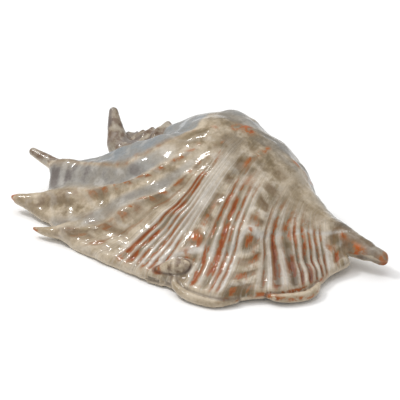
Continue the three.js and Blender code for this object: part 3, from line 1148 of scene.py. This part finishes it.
@dataclass
class Skin:
    """The finished surface: where each point lies, how far it stands out, and what grows there.

    Attributes:
        form: The shell's form.
        ornament: Its ribs, grooves and bands.
        points: The surface points, in millimetres.
        zones: Where the zones of colour begin and end.
        masks: What the material reads on the points, by name.
        crest_angle: Angle round the axis at which the lip leaves the whorl, in degrees.
        beyond: Distance given to points that no limb is near.
        ring_length: Spacing of the rings round the limbs.
        ring_height: Height of those rings.
        bar_length: Spacing of the rust bars across the upper ridges.
        hook_bar_length: Spacing of the brown bars across the front hook.
    """

    form: ShellForm
    ornament: Ornament
    points: Array
    zones: Zones = Zones()
    masks: dict = field(default_factory=dict)
    crest_angle: float = 197.0
    beyond: float = 99.0
    ring_length: float = 3.1
    ring_height: float = 0.05
    bar_length: float = 4.6
    hook_bar_length: float = 2.6

    def __post_init__(self) -> None:
        """Finds the places of the points, then their relief and their masks."""
        self.way = self.form.normals(self.points)
        self.locate()
        self.limbs = [self.limb_share(horn) for horn in (*FINGERS, *HOOKS, CANAL)]
        self.relief = self.raise_relief()
        self.mark_zones()

    def locate(self) -> None:
        """Gives every point its growth line and its share, on the lip and on over the whorl."""
        lip, whorls = self.form.lip, self.form.whorls
        self.lip_gap, self.whorl_gap, self.plan = self.form.parts(self.points)
        x = self.points[:, 0]
        out, angle = whorls.polar(self.points)
        whorl_line = np.interp(whorls.slid(x, angle), lip.dense[:, 0], lip.numbers)
        length = np.interp(whorl_line, lip.numbers, lip.length)
        whorl_share = 1.0 + np.radians(self.crest_angle - angle) * out / length
        over = ease(self.plan["share"], *self.zones.to_whorl)
        fan_line = self.plan["line"] * (1.0 - over) + whorl_line * over
        self.share = self.plan["share"] * (1.0 - over) + whorl_share * over
        self.line = lip.routes(fan_line, self.share)
        self.run = self.share * np.interp(fan_line, lip.numbers, lip.length)
        self.spire = ease(whorls.turn(x, angle), 0.03, -0.03) * (self.whorl_gap < self.lip_gap + 1.0)
        self.down = ease(self.way[:, 2] + Ripple(24.0, 0.2)(self.points), 0.0, -0.75)
        half = lip.thickness(np.clip(self.plan["share"], 0.0, 1.0))
        self.level = (self.points[:, 2] - self.plan["top"]) / self.plan["steep"] + half
        covered = ease(self.level, -half - 0.5, -half - 2.0) * ease(self.plan["inside"], 0.0, 3.0)
        self.outer = ease(self.way[:, 2], -0.35, 0.0) * (1.0 - self.spire) * (1.0 - covered)

    def limb_share(self, horn: Horn) -> tuple[str, Array, Array]:
        """Finds a limb on the points.

        Args:
            horn: The limb.

        Returns:
            Its name, where it is from 0 to 1, and the length back from its tip.
        """
        close = horn.near(self.points)
        gap, back = np.full(len(close), self.beyond), np.full(len(close), self.beyond)
        gap[close], back[close] = horn.measure(self.points[close])
        return horn.name, ease(gap, 1.4, 0.1), back

    def limb(self, *names: str) -> tuple[Array, Array]:
        """Where the named limbs are, and the length back from their tips."""
        chosen = [(on, back) for name, on, back in self.limbs if name in names]
        return np.max([c[0] for c in chosen], axis=0), np.min([c[1] for c in chosen], axis=0)

    def tips(self, *names: str) -> Array:
        """Where the named limbs' tips are, from 0 to 1."""
        found = [on * ease(back, *self.zones.tip_mm) for name, on, back in self.limbs if name in names]
        return np.max(found, axis=0)

    def raise_relief(self) -> Array:
        """Heights, in millimetres, that the ornament adds along the normals.

        Returns:
            The heights.
        """
        ornament, line, share = self.ornament, self.line, self.share
        self.bare = 1.0 - np.clip(sum(on for name, on, _ in self.limbs if name != "canal"), 0.0, 1.0)
        self.ribbed = self.outer * self.bare
        depth, self.rust = ornament.furrow(line, share)
        # groove depth as a share, for the painted shade in the grooves
        self.valley_shade = np.clip(depth / 0.3, 0.0, 1.0)
        self.to_step = share - ornament.step(line)
        stepped = ease(self.to_step, -0.015, 0.02) * ease(self.to_step, 0.25, 0.02) * ease(line, 7.2, 8.5)
        swing = Ripple(26.0, 1.3)(self.points)
        self.wave = np.cos(2 * math.pi * (self.run + swing) / ornament.wave_length)
        self.smooth = ornament.within(line, ornament.smooth_bands)
        relief = -depth * self.ribbed
        relief += ornament.striae(line, share, self.run) * self.outer
        relief += ornament.step_height * stepped * self.ribbed
        waving = self.ribbed * (0.5 + 1.1 * self.smooth) * ease(line, 2.5, 4.0)
        relief += self.wave * ornament.wave_height * waving
        for name, on, back in self.limbs:
            rings = np.cos(2 * math.pi * (back + 0.9 * swing) / self.ring_length)
            bigger = 1.0 + 5.0 * (name == "front_hook") * ease(back, 9.0, 12.0)
            relief += self.ring_height * on * rings * ease(back, 1.0, 4.0) * bigger
        uneven = sum(Ripple(*size)(self.points) for size in ornament.unevenness)
        relief += uneven * (0.3 + 0.7 * self.bare)
        return relief * ease(self.points[:, 2], 0.15, 1.2)

    def mark_zones(self) -> None:
        """Marks, from 0 to 1, where each colour and finish lies."""
        zones, line, share = self.zones, self.line, self.share
        self.patch = Ripple(11.0, 0.5)(self.points)
        self.high = ease(share, *zones.crown) * ease(line, *zones.crown_line)
        # the far side beyond the crest, which is given painted grey sheen
        self.far = ease(share, *zones.back) * (1.0 - self.spire)
        upper_ridges = self.form.lip.ridges[:3]
        self.ridges = sum(swell(line - r.line - 0.05, 0.2) * ease(share, 1.0, 0.75) for r in upper_ridges)
        self.mark_rust()
        self.mark_ribs()
        self.mark_ground()
        self.mark_patches()
        along = self.form.lip.rim_place(line)
        self.masks["fan"] = np.column_stack([along * 0.1, self.run * 0.1, np.zeros_like(line)])

    def mark_rust(self) -> None:
        """Marks the rust in the grooves, in patches and along the rim."""
        zones, line, share, z = self.zones, self.line, self.share, self.points[:, 2]
        hook, hook_back = self.limb("front_hook")
        canal, canal_back = self.limb("canal")
        bars = ease(np.cos(2 * math.pi * (self.run + 2.0 * self.patch) / self.bar_length), -0.3, 0.6)
        rust = self.ornament.stained(line, share) * self.outer
        barred = bars * self.outer * self.bare * ease(share, 0.12, 0.4)
        rust += 0.75 * self.ridges * barred * (0.35 + 0.65 * ease(line, 3.3, 4.2))
        rust += 0.9 * self.tips("middle_finger", "lower_finger") + hook * ease(hook_back, 5.0, 1.5)
        rust += 0.6 * canal * ease(canal_back, 1.4, 0.3)
        for x, x_width, y, y_width, z_from, z_to, strength in zones.notch:
            spot = swell(self.points[:, 0] - x, x_width) * swell(self.points[:, 1] - y, y_width)
            rust += strength * spot * ease(z, z_from, z_to)
        on_face = ease(self.level, -0.6, 0.4) * ease(self.level, 2.0, 1.0)
        on_face = on_face * ease(self.plan["inside"], *zones.rim_face_mm)
        self.masks["rust_groove"] = self.rust * self.ribbed
        self.masks["rust_patch"] = np.clip(rust, 0.0, 1.0)
        self.masks["rust_edge"] = (
            on_face * ease(line, *zones.rim_edge_line) * ease(line, *zones.rim_edge_end_line)
        )

    def mark_ribs(self) -> None:
        """Marks the ribs, the painted shade in the valleys between them and in the creases, and the growth
        steps.
        """
        ornament, line, share = self.ornament, self.line, self.share
        masks, last_bunch = self.masks, ease(line, *self.zones.last_bunch_line)
        bunch = ornament.within(line, ornament.bunches) * ornament.strength(share) * self.ribbed
        clean = 1.0 - np.clip(self.rust * 1.3, 0.0, 1.0)
        masks["ribbed"] = self.ribbed * ease(line, 7.2, 8.3) * (1.0 - 0.8 * ease(share, 0.75, 1.1))
        masks["rib"] = bunch * clean * ease(share, 1.05, 0.75) * (1.0 - 0.25 * last_bunch)
        # darker grooves in the last bunch of ribs, more towards the rim
        masks["dark_groove"] = self.rust * self.ribbed * last_bunch * ease(share, 0.65, 0.3)
        # painted shade: darkens the hollows of the grooves, more where they are deeper
        masks["valley_shade"] = self.valley_shade * self.ribbed * ease(share, 1.1, 0.9) * ease(share, 0.2, 0.5)
        masks["band"] = swell(self.to_step, 0.03) * ease(line, 8.5, 10.0) * self.ribbed
        masks["arc"] = ease(self.wave + 0.8 * self.patch, 0.6, 1.1) * self.outer * ease(share, 1.15, 0.85)
        # painted shade in the rim's groove and by the folds
        masks["crease_shade"] = self.crease_shade()

    def mark_ground(self) -> None:
        """Marks the khaki, brown and cream of the ground, and the grey, which is mostly painted shade and
        sheen.
        """
        ornament, zones, line, share = self.ornament, self.zones, self.line, self.share
        masks, upper = self.masks, self.limb("spire_finger", "upper_finger")[0]
        keel, canal = self.limb("middle_keel")[0], self.limb("canal")[0]
        hook, hook_back = self.limb("front_hook")
        khaki = self.smooth * self.ribbed * (0.25 + 0.75 * ease(line, *zones.past_fingers_line))
        khaki += 0.8 * self.high * (1.0 - 0.75 * ease(line, *zones.canal_side_line))
        khaki += 0.7 * swell(line - 5.6, 0.5) * self.ribbed + 0.4 * keel + 0.4 * canal
        valleys = 0.75 * ornament.within(line, (ornament.grey_valley,), 0.3)
        valleys += 0.6 * ornament.within(line, (ornament.pale_valley,), 0.3)
        # painted shade and sheen: bluish grey on the shoulder slope
        grey_shade_and_sheen = ease(line, *zones.shoulder_line) * self.outer * (1.0 - 0.6 * upper) * (1.0 - self.far)
        # painted sheen on the far side; the grey on the spire and the canal is their own colour
        grey_shade_and_sheen += 0.8 * self.far * ease(self.patch, -1.2, 0.6) + 0.3 * self.spire + 0.4 * canal
        # painted shade in the valleys between the upper ridges
        grey_shade_and_sheen += valleys * self.ribbed * ease(share, *zones.upper_end)
        hook_bars = ease(np.cos(2 * math.pi * hook_back / self.hook_bar_length), -1.3, 0.5)
        brown = 1.6 * self.spire + 1.1 * upper + self.tips("spire_finger", "upper_finger") + 0.9 * canal
        brown += 0.6 * self.ridges * self.outer + 1.1 * hook * hook_bars
        edge = ease(self.plan["inside"], *zones.outer_edge_mm) * (1.0 - self.spire)
        below = ease(self.level, 0.9, -0.6) * edge * ease(self.lip_gap, 1.6, 0.6)
        cream = np.maximum(self.down * (1.0 - 0.5 * self.spire), 0.85 * below) + 0.2 * keel
        for name, values in {"khaki": khaki, "grey_shade_and_sheen": grey_shade_and_sheen, "brown": brown, "cream": cream}.items():
            masks[name] = np.clip(values, 0.0, 1.0)

    def mark_patches(self) -> None:
        """Marks the blotches, the painted shade on the crown, the shadow beside it, the violet boxes and
        the knobs.
        """
        ornament, zones, line, share = self.ornament, self.zones, self.line, self.share
        masks = self.masks
        first_band, last_bands = ornament.smooth_bands[:1], ornament.smooth_bands[1:]
        bands = ornament.within(line, last_bands, 0.22) + 0.35 * ornament.within(line, first_band, 0.3)
        bands += 0.45 * ornament.within(line, (ornament.blotched_band,), 0.3) * ease(share, 0.4, 0.15)
        dark = ease(-self.wave + 0.5 * self.patch, -0.45, 0.5)
        masks["blotch"] = bands * dark * self.ribbed * ease(share, 1.2, 0.85)
        masks["ember"] = masks["blotch"] ** 2 * ease(share, 0.8, 0.5)
        # painted shade: khaki that darkens the upward-facing crown, less on the far side
        crown = self.high * self.outer * (1.0 - 0.7 * self.far)
        masks["high"] = crown * (0.3 + 0.7 * ease(line, 12.0, 10.0))
        crown_side = swell(share - 1.0, 0.22) * self.outer
        masks["shadow"] = ease(line, 6.8, 8.5) * ease(line, 11.8, 10.2) * crown_side
        boxes = ornament.within(line, (ornament.grey_valley,), 0.25)
        boxes += 0.4 * ornament.within(line, (ornament.pale_valley,), 0.25)
        parted = 0.3 + 0.7 * ease(self.wave, 0.5, -0.2)
        masks["violet"] = boxes * self.ribbed * ease(share, *zones.lower_half) * parted
        masks["knob"] = ease(Ripple(8.0, 1.0)(self.points), -0.4, 0.8) * self.spire

    def crease_shade(self) -> Array:
        """Painted shade in the groove between the two layers of the rim and in the valleys by its folds.

        Returns:
            Shares from 0 to 1.
        """
        radius = self.form.lip.rim_groove(self.plan["line"])
        gap = self.form.lip.groove_distance(self.plan["inside"], self.level) - radius
        groove = 0.6 * ease(gap, 0.3, -0.1) * ease(radius, 0.2, 0.6) * ease(self.plan["share"], 0.5, 0.3)
        fold, _ = self.limb("lip_fold", "canal_fold", "front_hook")
        valley_shade = fold * ease(self.lip_gap, 1.5, 0.5) * ease(self.points[:, 2], 1.5, 3.0)
        return np.maximum(groove, 0.8 * valley_shade * ease(self.way[:, 2], 1.1, 0.9))

    def finished(self) -> Array:
        """The points with their relief.

        Returns:
            Places, in millimetres.
        """
        moved = self.points + self.way * self.relief[:, None]
        moved[:, 2] = np.maximum(moved[:, 2], 0.0)
        return moved


class Blend(Enum):
    """How one colour goes over another."""

    MIX = "MIX"
    MULTIPLY = "MULTIPLY"


def tint(red: int, green: int, blue: int) -> tuple[float, float, float, float]:
    """Turns a colour of 0 to 255 a channel into the renderer's linear one.

    Args:
        red: Red, from 0 to 255.
        green: Green.
        blue: Blue.

    Returns:
        Red, green, blue and alpha from 0 to 1.
    """
    def linear(channel: int) -> float:
        """One channel, made linear."""
        share = channel / 255.0
        return share / 12.92 if share <= 0.04045 else ((share + 0.055) / 1.055) ** 2.4
    return linear(red), linear(green), linear(blue), 1.0


class Shade:
    """A node's output that takes part in Python expressions."""

    def __init__(self, desk: "PaintDesk", socket: bpy.types.NodeSocket) -> None:
        """Wraps a socket of a desk's tree."""
        self.desk = desk
        self.socket = socket

    def math(self, operation: str, first: "Value", second: "Value") -> "Shade":
        """Adds a Math node.

        Args:
            operation: What it works out.
            first: Its first value.
            second: Its second value.

        Returns:
            Its result.
        """
        return self.desk.node("ShaderNodeMath", {"operation": operation}, {0: first, 1: second})

    def __add__(self, other: "Value") -> "Shade":
        """This plus the other."""
        return self.math("ADD", self, other)

    def __radd__(self, other: "Value") -> "Shade":
        """The other plus this."""
        return self.math("ADD", other, self)

    def __sub__(self, other: "Value") -> "Shade":
        """This less the other."""
        return self.math("SUBTRACT", self, other)

    def __mul__(self, other: "Value") -> "Shade":
        """This times the other."""
        return self.math("MULTIPLY", self, other)

    def __rmul__(self, other: "Value") -> "Shade":
        """The other times this."""
        return self.math("MULTIPLY", other, self)

    def eased(self, start: float, end: float) -> "Shade":
        """This, eased from 0 at start to 1 at end.

        Args:
            start: Where the climb begins.
            end: Where it is done.

        Returns:
            A share from 0 to 1.
        """
        flipped = start > end
        low, high = (end, start) if flipped else (start, end)
        limits = {1: low, 2: high, 3: 1.0 if flipped else 0.0, 4: 0.0 if flipped else 1.0}
        settings = {"interpolation_type": "SMOOTHSTEP"}
        return self.desk.node("ShaderNodeMapRange", settings, {0: self, **limits})


Value = Union[Shade, float, Sequence[float]]


class PaintDesk:
    """Builds one material's nodes."""

    def __init__(self, name: str) -> None:
        """Starts a material with an empty tree.

        Args:
            name: The material's name.
        """
        self.material = bpy.data.materials.new(name)
        self.material.use_nodes = True
        self.tree = self.material.node_tree
        self.tree.nodes.clear()
        self.output = self.tree.nodes.new("ShaderNodeOutputMaterial")

    def show(self, surface: Shade) -> None:
        """Makes a shader the material's surface."""
        self.tree.links.new(surface.socket, self.output.inputs["Surface"])

    def node(
        self, kind: str, settings: Mapping[str, object], sockets: Mapping[Union[int, str], Value],
        output: Union[int, str] = 0,
    ) -> Shade:
        """Adds a node.

        Args:
            kind: The node's type.
            settings: Its properties, which are set first.
            sockets: Values or links of its inputs.
            output: Which output to give back.

        Returns:
            The output.
        """
        made = self.tree.nodes.new(kind)
        for name, value in settings.items():
            setattr(made, name, value)
        for key, value in sockets.items():
            if isinstance(value, Shade):
                self.tree.links.new(value.socket, made.inputs[key])
            else:
                made.inputs[key].default_value = value
        return Shade(self, made.outputs[output])

    def mask(self, name: str, output: str = "Fac") -> Shade:
        """Reads what is stored on the points: a number, or with the output "Vector" a vector."""
        settings = {"attribute_name": name, "attribute_type": "GEOMETRY"}
        return self.node("ShaderNodeAttribute", settings, {}, output)

    def noise(self, place: Shade, scale: float, detail: float = 3.0, roughness: float = 0.55) -> Shade:
        """Adds cloudy noise.

        Args:
            place: Where it is read.
            scale: How fine it is.
            detail: Layers of finer noise.
            roughness: How strong the finer layers are.

        Returns:
            Noise round a half.
        """
        sockets = {"Vector": place, "Scale": scale, "Detail": detail, "Roughness": roughness}
        return self.node("ShaderNodeTexNoise", {"noise_dimensions": "3D"}, sockets)

    def over(self, base: Value, top: Value, share: Value, blend: Blend = Blend.MIX) -> Shade:
        """Lays one colour over another.

        Args:
            base: The colour below.
            top: The colour above.
            share: How much of the upper one shows.
            blend: How they go together.

        Returns:
            The colour of both.
        """
        settings = {"data_type": "RGBA", "blend_type": blend.value, "clamp_factor": True}
        return self.node("ShaderNodeMix", settings, {0: share, 6: base, 7: top}, 2)

    def stretched(self, place: Shade, by: tuple[float, float, float]) -> Shade:
        """Multiplies a place, so that noise read there is drawn out."""
        return self.node("ShaderNodeVectorMath", {"operation": "MULTIPLY"}, {0: place, 1: by})


@dataclass(frozen=True)
class PolishedShell:
    """Cream and khaki shell with rust in its grooves, under a clear gloss; most of its bluish grey is
    painted shade and sheen.

    The colours are named after what they paint; the rest are the gloss and its roughness.
    """

    cream: tuple = tint(203, 188, 165)
    beige: tuple = tint(174, 156, 130)
    khaki: tuple = tint(138, 119, 88)
    olive: tuple = tint(104, 88, 60)
    rib_white: tuple = tint(211, 205, 196)
    # the spire's and canal's own grey, and the colour of painted shade and sheen
    blue_grey: tuple = tint(130, 135, 138)
    violet: tuple = tint(110, 100, 95)
    tan: tuple = tint(152, 108, 66)
    rust: tuple = tint(170, 80, 0)
    brown: tuple = tint(108, 84, 64)
    dark_rust: tuple = tint(92, 36, 0)
    blotch: tuple = tint(116, 92, 62)
    # dark brown of the painted shade in the creases, also laid in the last bunch's grooves
    crease_shade: tuple = tint(66, 42, 28)
    speck: tuple = tint(120, 112, 100)
    roughness: float = 0.42
    specular: float = 0.2
    coat: float = 0.6
    coat_roughness: float = 0.05
    bump: float = 0.22
    bump_depth: float = 0.0004

    def make(self) -> bpy.types.Material:
        """Builds the material.

        Returns:
            The material.
        """
        desk = PaintDesk("polished_shell")
        place = desk.node("ShaderNodeTexCoord", {}, {}, "Object")
        fan = desk.mask("fan", "Vector")
        colour = self.ground_colour(desk, place, fan)
        colour = self.rust_colour(desk, place, fan, colour)
        shader = desk.node("ShaderNodeBsdfPrincipled", {}, {
            "Base Color": colour,
            "Roughness": self.roughness + (desk.noise(place, 160.0) - 0.5) * 0.16,
            "Specular IOR Level": self.specular,
            "Coat Weight": self.coat,
            "Coat Roughness": self.coat_roughness,
            "Normal": self.fine_relief(desk, place, fan),
        })
        desk.show(shader)
        return desk.material

    def ground_colour(self, desk: PaintDesk, place: Shade, fan: Shade) -> Shade:
        """Colours everything but the rust.

        Args:
            desk: Where the nodes go.
            place: Object coordinates.
            fan: Place along the rim and distance from it, in centimetres.

        Returns:
            The colour.
        """
        clouds = desk.noise(place, 95.0, 4.0, 0.6)
        spots = desk.noise(place, 210.0, 3.0, 0.55)
        cords = desk.noise(desk.stretched(fan, (7.5, 0.4, 1.0)), 1.0, 2.0, 0.5)
        hollows = desk.noise(desk.stretched(fan, (11.0, 0.5, 3.0)), 1.0, 2.0, 0.5)
        fine = desk.noise(place, 700.0, 3.0, 0.6)
        ribbed, rib, khaki, violet = (desk.mask(name) for name in ("ribbed", "rib", "khaki", "violet"))
        white = ribbed * cords.eased(0.48, 0.6) * (0.25 + 0.45 * rib) + rib * 0.66
        layers = (
            (self.khaki, khaki * 0.75 * spots.eased(0.62, 0.38) + clouds.eased(0.56, 0.36) * 0.35),
            # painted shade on the crown
            (self.khaki, desk.mask("high") * (0.25 + 0.6 * clouds.eased(0.6, 0.42))),
            (self.olive, khaki * clouds.eased(0.54, 0.38) * 0.75),
            (self.olive, desk.mask("shadow") * (0.1 + 0.25 * spots.eased(0.6, 0.4))),
            # bluish grey: painted shade and sheen on the shoulder, far side and upper valleys, and the
            # spire's and canal's own grey
            (self.blue_grey, desk.mask("grey_shade_and_sheen") * (0.72 + 0.26 * clouds.eased(0.35, 0.6))),
            (self.brown, desk.mask("brown") * spots.eased(0.36, 0.6) * 0.9),
            (self.violet, violet * clouds.eased(0.44, 0.58) * 0.8),
            (self.olive, ribbed * hollows.eased(0.5, 0.66) * 0.4),
            (self.rib_white, white),
            (self.rib_white, desk.mask("arc") * (0.22 + 0.5 * violet) * spots.eased(0.35, 0.55)),
            (self.blotch, desk.mask("blotch") * (0.55 + 0.35 * spots.eased(0.4, 0.6))),
            (self.rib_white, desk.mask("band") * 0.85),
            # painted shade in the hollows of the grooves
            (self.khaki, desk.mask("valley_shade") * 0.5),
            (self.cream, desk.mask("cream") * 0.85),
            (self.violet, desk.mask("knob") * 0.8),
        )
        colour = desk.over(self.beige, self.cream, clouds.eased(0.36, 0.62) * 0.9)
        for paint, share in layers:
            colour = desk.over(colour, paint, share)
        return desk.over(colour, self.speck, (fine - 0.42) * 0.7, Blend.MULTIPLY)

    def rust_colour(self, desk: PaintDesk, place: Shade, fan: Shade, colour: Shade) -> Shade:
        """Lays the rust, and the painted shade in the creases, over the rest.

        Args:
            desk: Where the nodes go.
            place: Object coordinates.
            fan: Place along the rim and distance from it, in centimetres.
            colour: The colour so far.

        Returns:
            The whole colour.
        """
        dashes = desk.noise(desk.stretched(fan, (2.6, 1.15, 1.0)), 1.0, 4.0, 0.62)
        spots = desk.noise(place, 260.0, 3.0, 0.6)
        groove = desk.mask("rust_groove")
        patch = desk.mask("rust_patch") * spots.eased(0.34, 0.58)
        broken = dashes.eased(0.42, 0.55)
        ember = desk.mask("ember") * dashes.eased(0.5, 0.62) * 0.75
        amount = groove * broken + patch + ember + desk.mask("rust_edge") * spots.eased(0.42, 0.6) * 0.85
        # painted shade: olive darkens the grooves under the rust
        colour = desk.over(colour, self.olive, groove * 0.75)
        colour = desk.over(colour, self.tan, amount * 1.4)
        colour = desk.over(colour, self.rust, amount * amount * 1.1)
        deep = groove * groove * broken * 0.4 + amount * dashes.eased(0.52, 0.68) * 0.55
        colour = desk.over(colour, self.dark_rust, deep)
        # painted shade in the rim's groove and by the folds, and darker grooves in the last bunch towards
        # the rim
        return desk.over(colour, self.crease_shade, desk.mask("crease_shade") * 0.8 + desk.mask("dark_groove") * 0.55)

    def fine_relief(self, desk: PaintDesk, place: Shade, fan: Shade) -> Shade:
        """Adds the finest relief, too small for the mesh.

        Args:
            desk: Where the nodes go.
            place: Object coordinates.
            fan: Place along the rim and distance from it, in centimetres.

        Returns:
            The bent normal.
        """
        lines = desk.noise(desk.stretched(fan, (14.0, 0.9, 1.0)), 1.0, 2.0, 0.5)
        grain = desk.noise(place, 420.0, 2.0, 0.5)
        height = lines * 0.6 + grain * 0.4
        sockets = {"Strength": self.bump, "Distance": self.bump_depth, "Height": height}
        return desk.node("ShaderNodeBump", {}, sockets)


@dataclass
class SpiderConch:
    """The shell as one closed skin, with its relief and its colour.

    Attributes:
        box: The CAD shell's lowest and highest corner, in metres.
        design_length: Length of the drawn form's CAD box, which is scaled to that of the shell.
        cell: Mesh spacing of the form.
        fine_line: Growth line from which the lip is meshed twice as fine.
        fine_share: Share of the lip up to which it is.
        fine_depth: How far below the lip's top it is.
        name: Name of the object.
    """

    box: tuple
    design_length: float = 190.0
    cell: float = 1.0
    fine_line: float = 6.6
    fine_share: float = 0.8
    fine_depth: float = 3.0
    name: str = "spider_conch_shell"

    def build(self) -> bpy.types.Object:
        """Draws, refines, dresses and places the shell.

        Returns:
            The shell's object.
        """
        form = ShellForm()
        net = SurfaceNet(self.cell)
        points, quads = net.draw(net.sample(form))
        LOG.info("net of %d points", len(points))
        mesh = self.refine(form, form.settle(points, 1), quads)
        points = np.empty(len(mesh.vertices) * 3)
        mesh.vertices.foreach_get("co", points)
        skin = Skin(form, Ornament(), form.settle(points.reshape(-1, 3), 2))
        size = (self.box[1][0] - self.box[0][0]) / (self.design_length * METRE)
        mesh.vertices.foreach_set("co", (skin.finished() * METRE * size).ravel())
        self.store(mesh, skin.masks)
        mesh.polygons.foreach_set("use_smooth", np.ones(len(mesh.polygons), bool))
        mesh.materials.append(PolishedShell().make())
        mesh.update()
        shell = bpy.data.objects.new(self.name, mesh)
        bpy.context.scene.collection.objects.link(shell)
        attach(shell, "root")
        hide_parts(NODE)
        LOG.info("%s: %d points, %d faces", self.name, len(mesh.vertices), len(mesh.polygons))
        return shell

    def refine(self, form: ShellForm, points: Array, quads: Array) -> bpy.types.Mesh:
        """Halves the mesh spacing where the ribs are.

        Args:
            form: The shell's form.
            points: The net's points.
            quads: The net's quads.

        Returns:
            The finer mesh, in millimetres.
        """
        mesh = bpy.data.meshes.new(self.name)
        mesh.from_pydata(points.tolist(), [], quads.tolist())
        plan = form.lip.read(points[:, 0], points[:, 1])
        above = points[:, 2] > plan["top"] - self.fine_depth
        fine = above & (plan["line"] > self.fine_line) & (plan["share"] < self.fine_share)
        chosen = fine[quads].all(axis=1)
        build = bmesh.new()
        build.from_mesh(mesh)
        build.faces.ensure_lookup_table()
        edges = {edge for face in np.flatnonzero(chosen) for edge in build.faces[int(face)].edges}
        bmesh.ops.subdivide_edges(build, edges=list(edges), cuts=1, use_grid_fill=True)
        build.to_mesh(mesh)
        build.free()
        return mesh

    def store(self, mesh: bpy.types.Mesh, masks: Mapping[str, Array]) -> None:
        """Writes the masks to the mesh's points.

        Args:
            mesh: The mesh.
            masks: Values for its points, by name.
        """
        for name, values in masks.items():
            kind, key = ("FLOAT", "value") if values.ndim == 1 else ("FLOAT_VECTOR", "vector")
            stored = mesh.attributes.new(name, kind, "POINT")
            stored.data.foreach_set(key, np.ascontiguousarray(values, np.float32).ravel())


@dataclass(frozen=True)
class SoftBox:
    """A square studio light.

    Attributes:
        name: Its name.
        place: Where it hangs, in metres.
        size: Its side.
        power: Its power in watts.
    """

    name: str
    place: tuple[float, float, float]
    size: float
    power: float

    def hang(self, aim: Vector) -> None:
        """Makes the light, turned to the aim.

        Args:
            aim: What it is turned to.
        """
        data = bpy.data.lights.new(self.name, "AREA")
        data.size, data.energy = self.size, self.power
        light = bpy.data.objects.new(self.name, data)
        light.location = self.place
        light.rotation_euler = (aim - light.location).to_track_quat("-Z", "Y").to_euler()
        bpy.context.scene.collection.objects.link(light)


@dataclass(frozen=True)
class Studio:
    """Plain pale floor, soft lights, and the camera.

    Attributes:
        azimuth: Angle round to the camera, in degrees.
        elevation: Angle up to the camera, in degrees.
        distance: How far off the camera is, in metres.
        lens: Its focal length, in millimetres.
        sensor: Its sensor's width, in millimetres.
        aim: What it looks at.
        light_aim: What the lights are turned to.
        floor_side: Side of the square floor, in metres.
        floor_tints: Darkest and lightest grey of the floor.
        sky: Strength of the even light from all round.
        lights: The lights.
    """

    azimuth: float = 35.0
    elevation: float = 30.0
    distance: float = 0.786
    lens: float = 150.0
    sensor: float = 36.0
    aim: tuple[float, float, float] = (0.0008, -0.0192, 0.0189)
    light_aim: tuple[float, float, float] = (0.0, -0.02, 0.02)
    floor_side: float = 6.0
    floor_tints: tuple[tuple, tuple] = (tint(246, 246, 246), tint(252, 252, 252))
    sky: float = 0.55
    lights: Sequence[SoftBox] = (
        SoftBox("key", (-0.44, -0.17, 0.72), 0.13, 2.2),
        SoftBox("fill", (-0.2, 0.1, 1.3), 1.4, 9.0),
    )

    def build(self) -> None:
        """Builds the floor, the lights, the sky and the camera."""
        self.floor()
        for light in self.lights:
            light.hang(Vector(self.light_aim))
        self.background()
        self.camera()
        bpy.context.scene.view_settings.view_transform = "Standard"

    def floor(self) -> None:
        """Lays the floor."""
        half = self.floor_side / 2
        mesh = bpy.data.meshes.new("floor")
        corners = [(-half, -half, 0.0), (half, -half, 0.0), (half, half, 0.0), (-half, half, 0.0)]
        mesh.from_pydata(corners, [], [(0, 1, 2, 3)])
        desk = PaintDesk("pale_floor")
        grain = desk.noise(desk.node("ShaderNodeTexCoord", {}, {}, "Object"), 40.0)
        colour = desk.over(*self.floor_tints, grain)
        shader = desk.node("ShaderNodeBsdfPrincipled", {}, {"Base Color": colour, "Roughness": 0.9})
        desk.show(shader)
        mesh.materials.append(desk.material)
        floor = bpy.data.objects.new("floor", mesh)
        bpy.context.scene.collection.objects.link(floor)

    def background(self) -> None:
        """Lights the scene evenly from all round."""
        world = bpy.data.worlds.new("studio")
        world.use_nodes = True
        sky = world.node_tree.nodes["Background"]
        sky.inputs["Color"].default_value = (1.0, 1.0, 1.0, 1.0)
        sky.inputs["Strength"].default_value = self.sky
        bpy.context.scene.world = world

    def camera(self) -> None:
        """Sets up the camera."""
        turn, lift = math.radians(self.azimuth), math.radians(self.elevation)
        away = Vector((math.sin(turn) * math.cos(lift), -math.cos(turn) * math.cos(lift), math.sin(lift)))
        data = bpy.data.cameras.new("camera")
        data.lens, data.sensor_width = self.lens, self.sensor
        camera = bpy.data.objects.new("camera", data)
        camera.location = Vector(self.aim) + away * self.distance
        camera.rotation_euler = (-away).to_track_quat("-Z", "Y").to_euler()
        bpy.context.scene.collection.objects.link(camera)
        bpy.context.scene.camera = camera


def main() -> None:
    """Builds the shell and the studio."""
    logging.basicConfig(level=logging.INFO, format="%(message)s")
    shell = SpiderConch(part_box(NODE)).build()
    LOG.info("built %s", shell.name)
    Studio().build()
    LOG.info("built the studio")


if __name__ == "__main__":
    main()
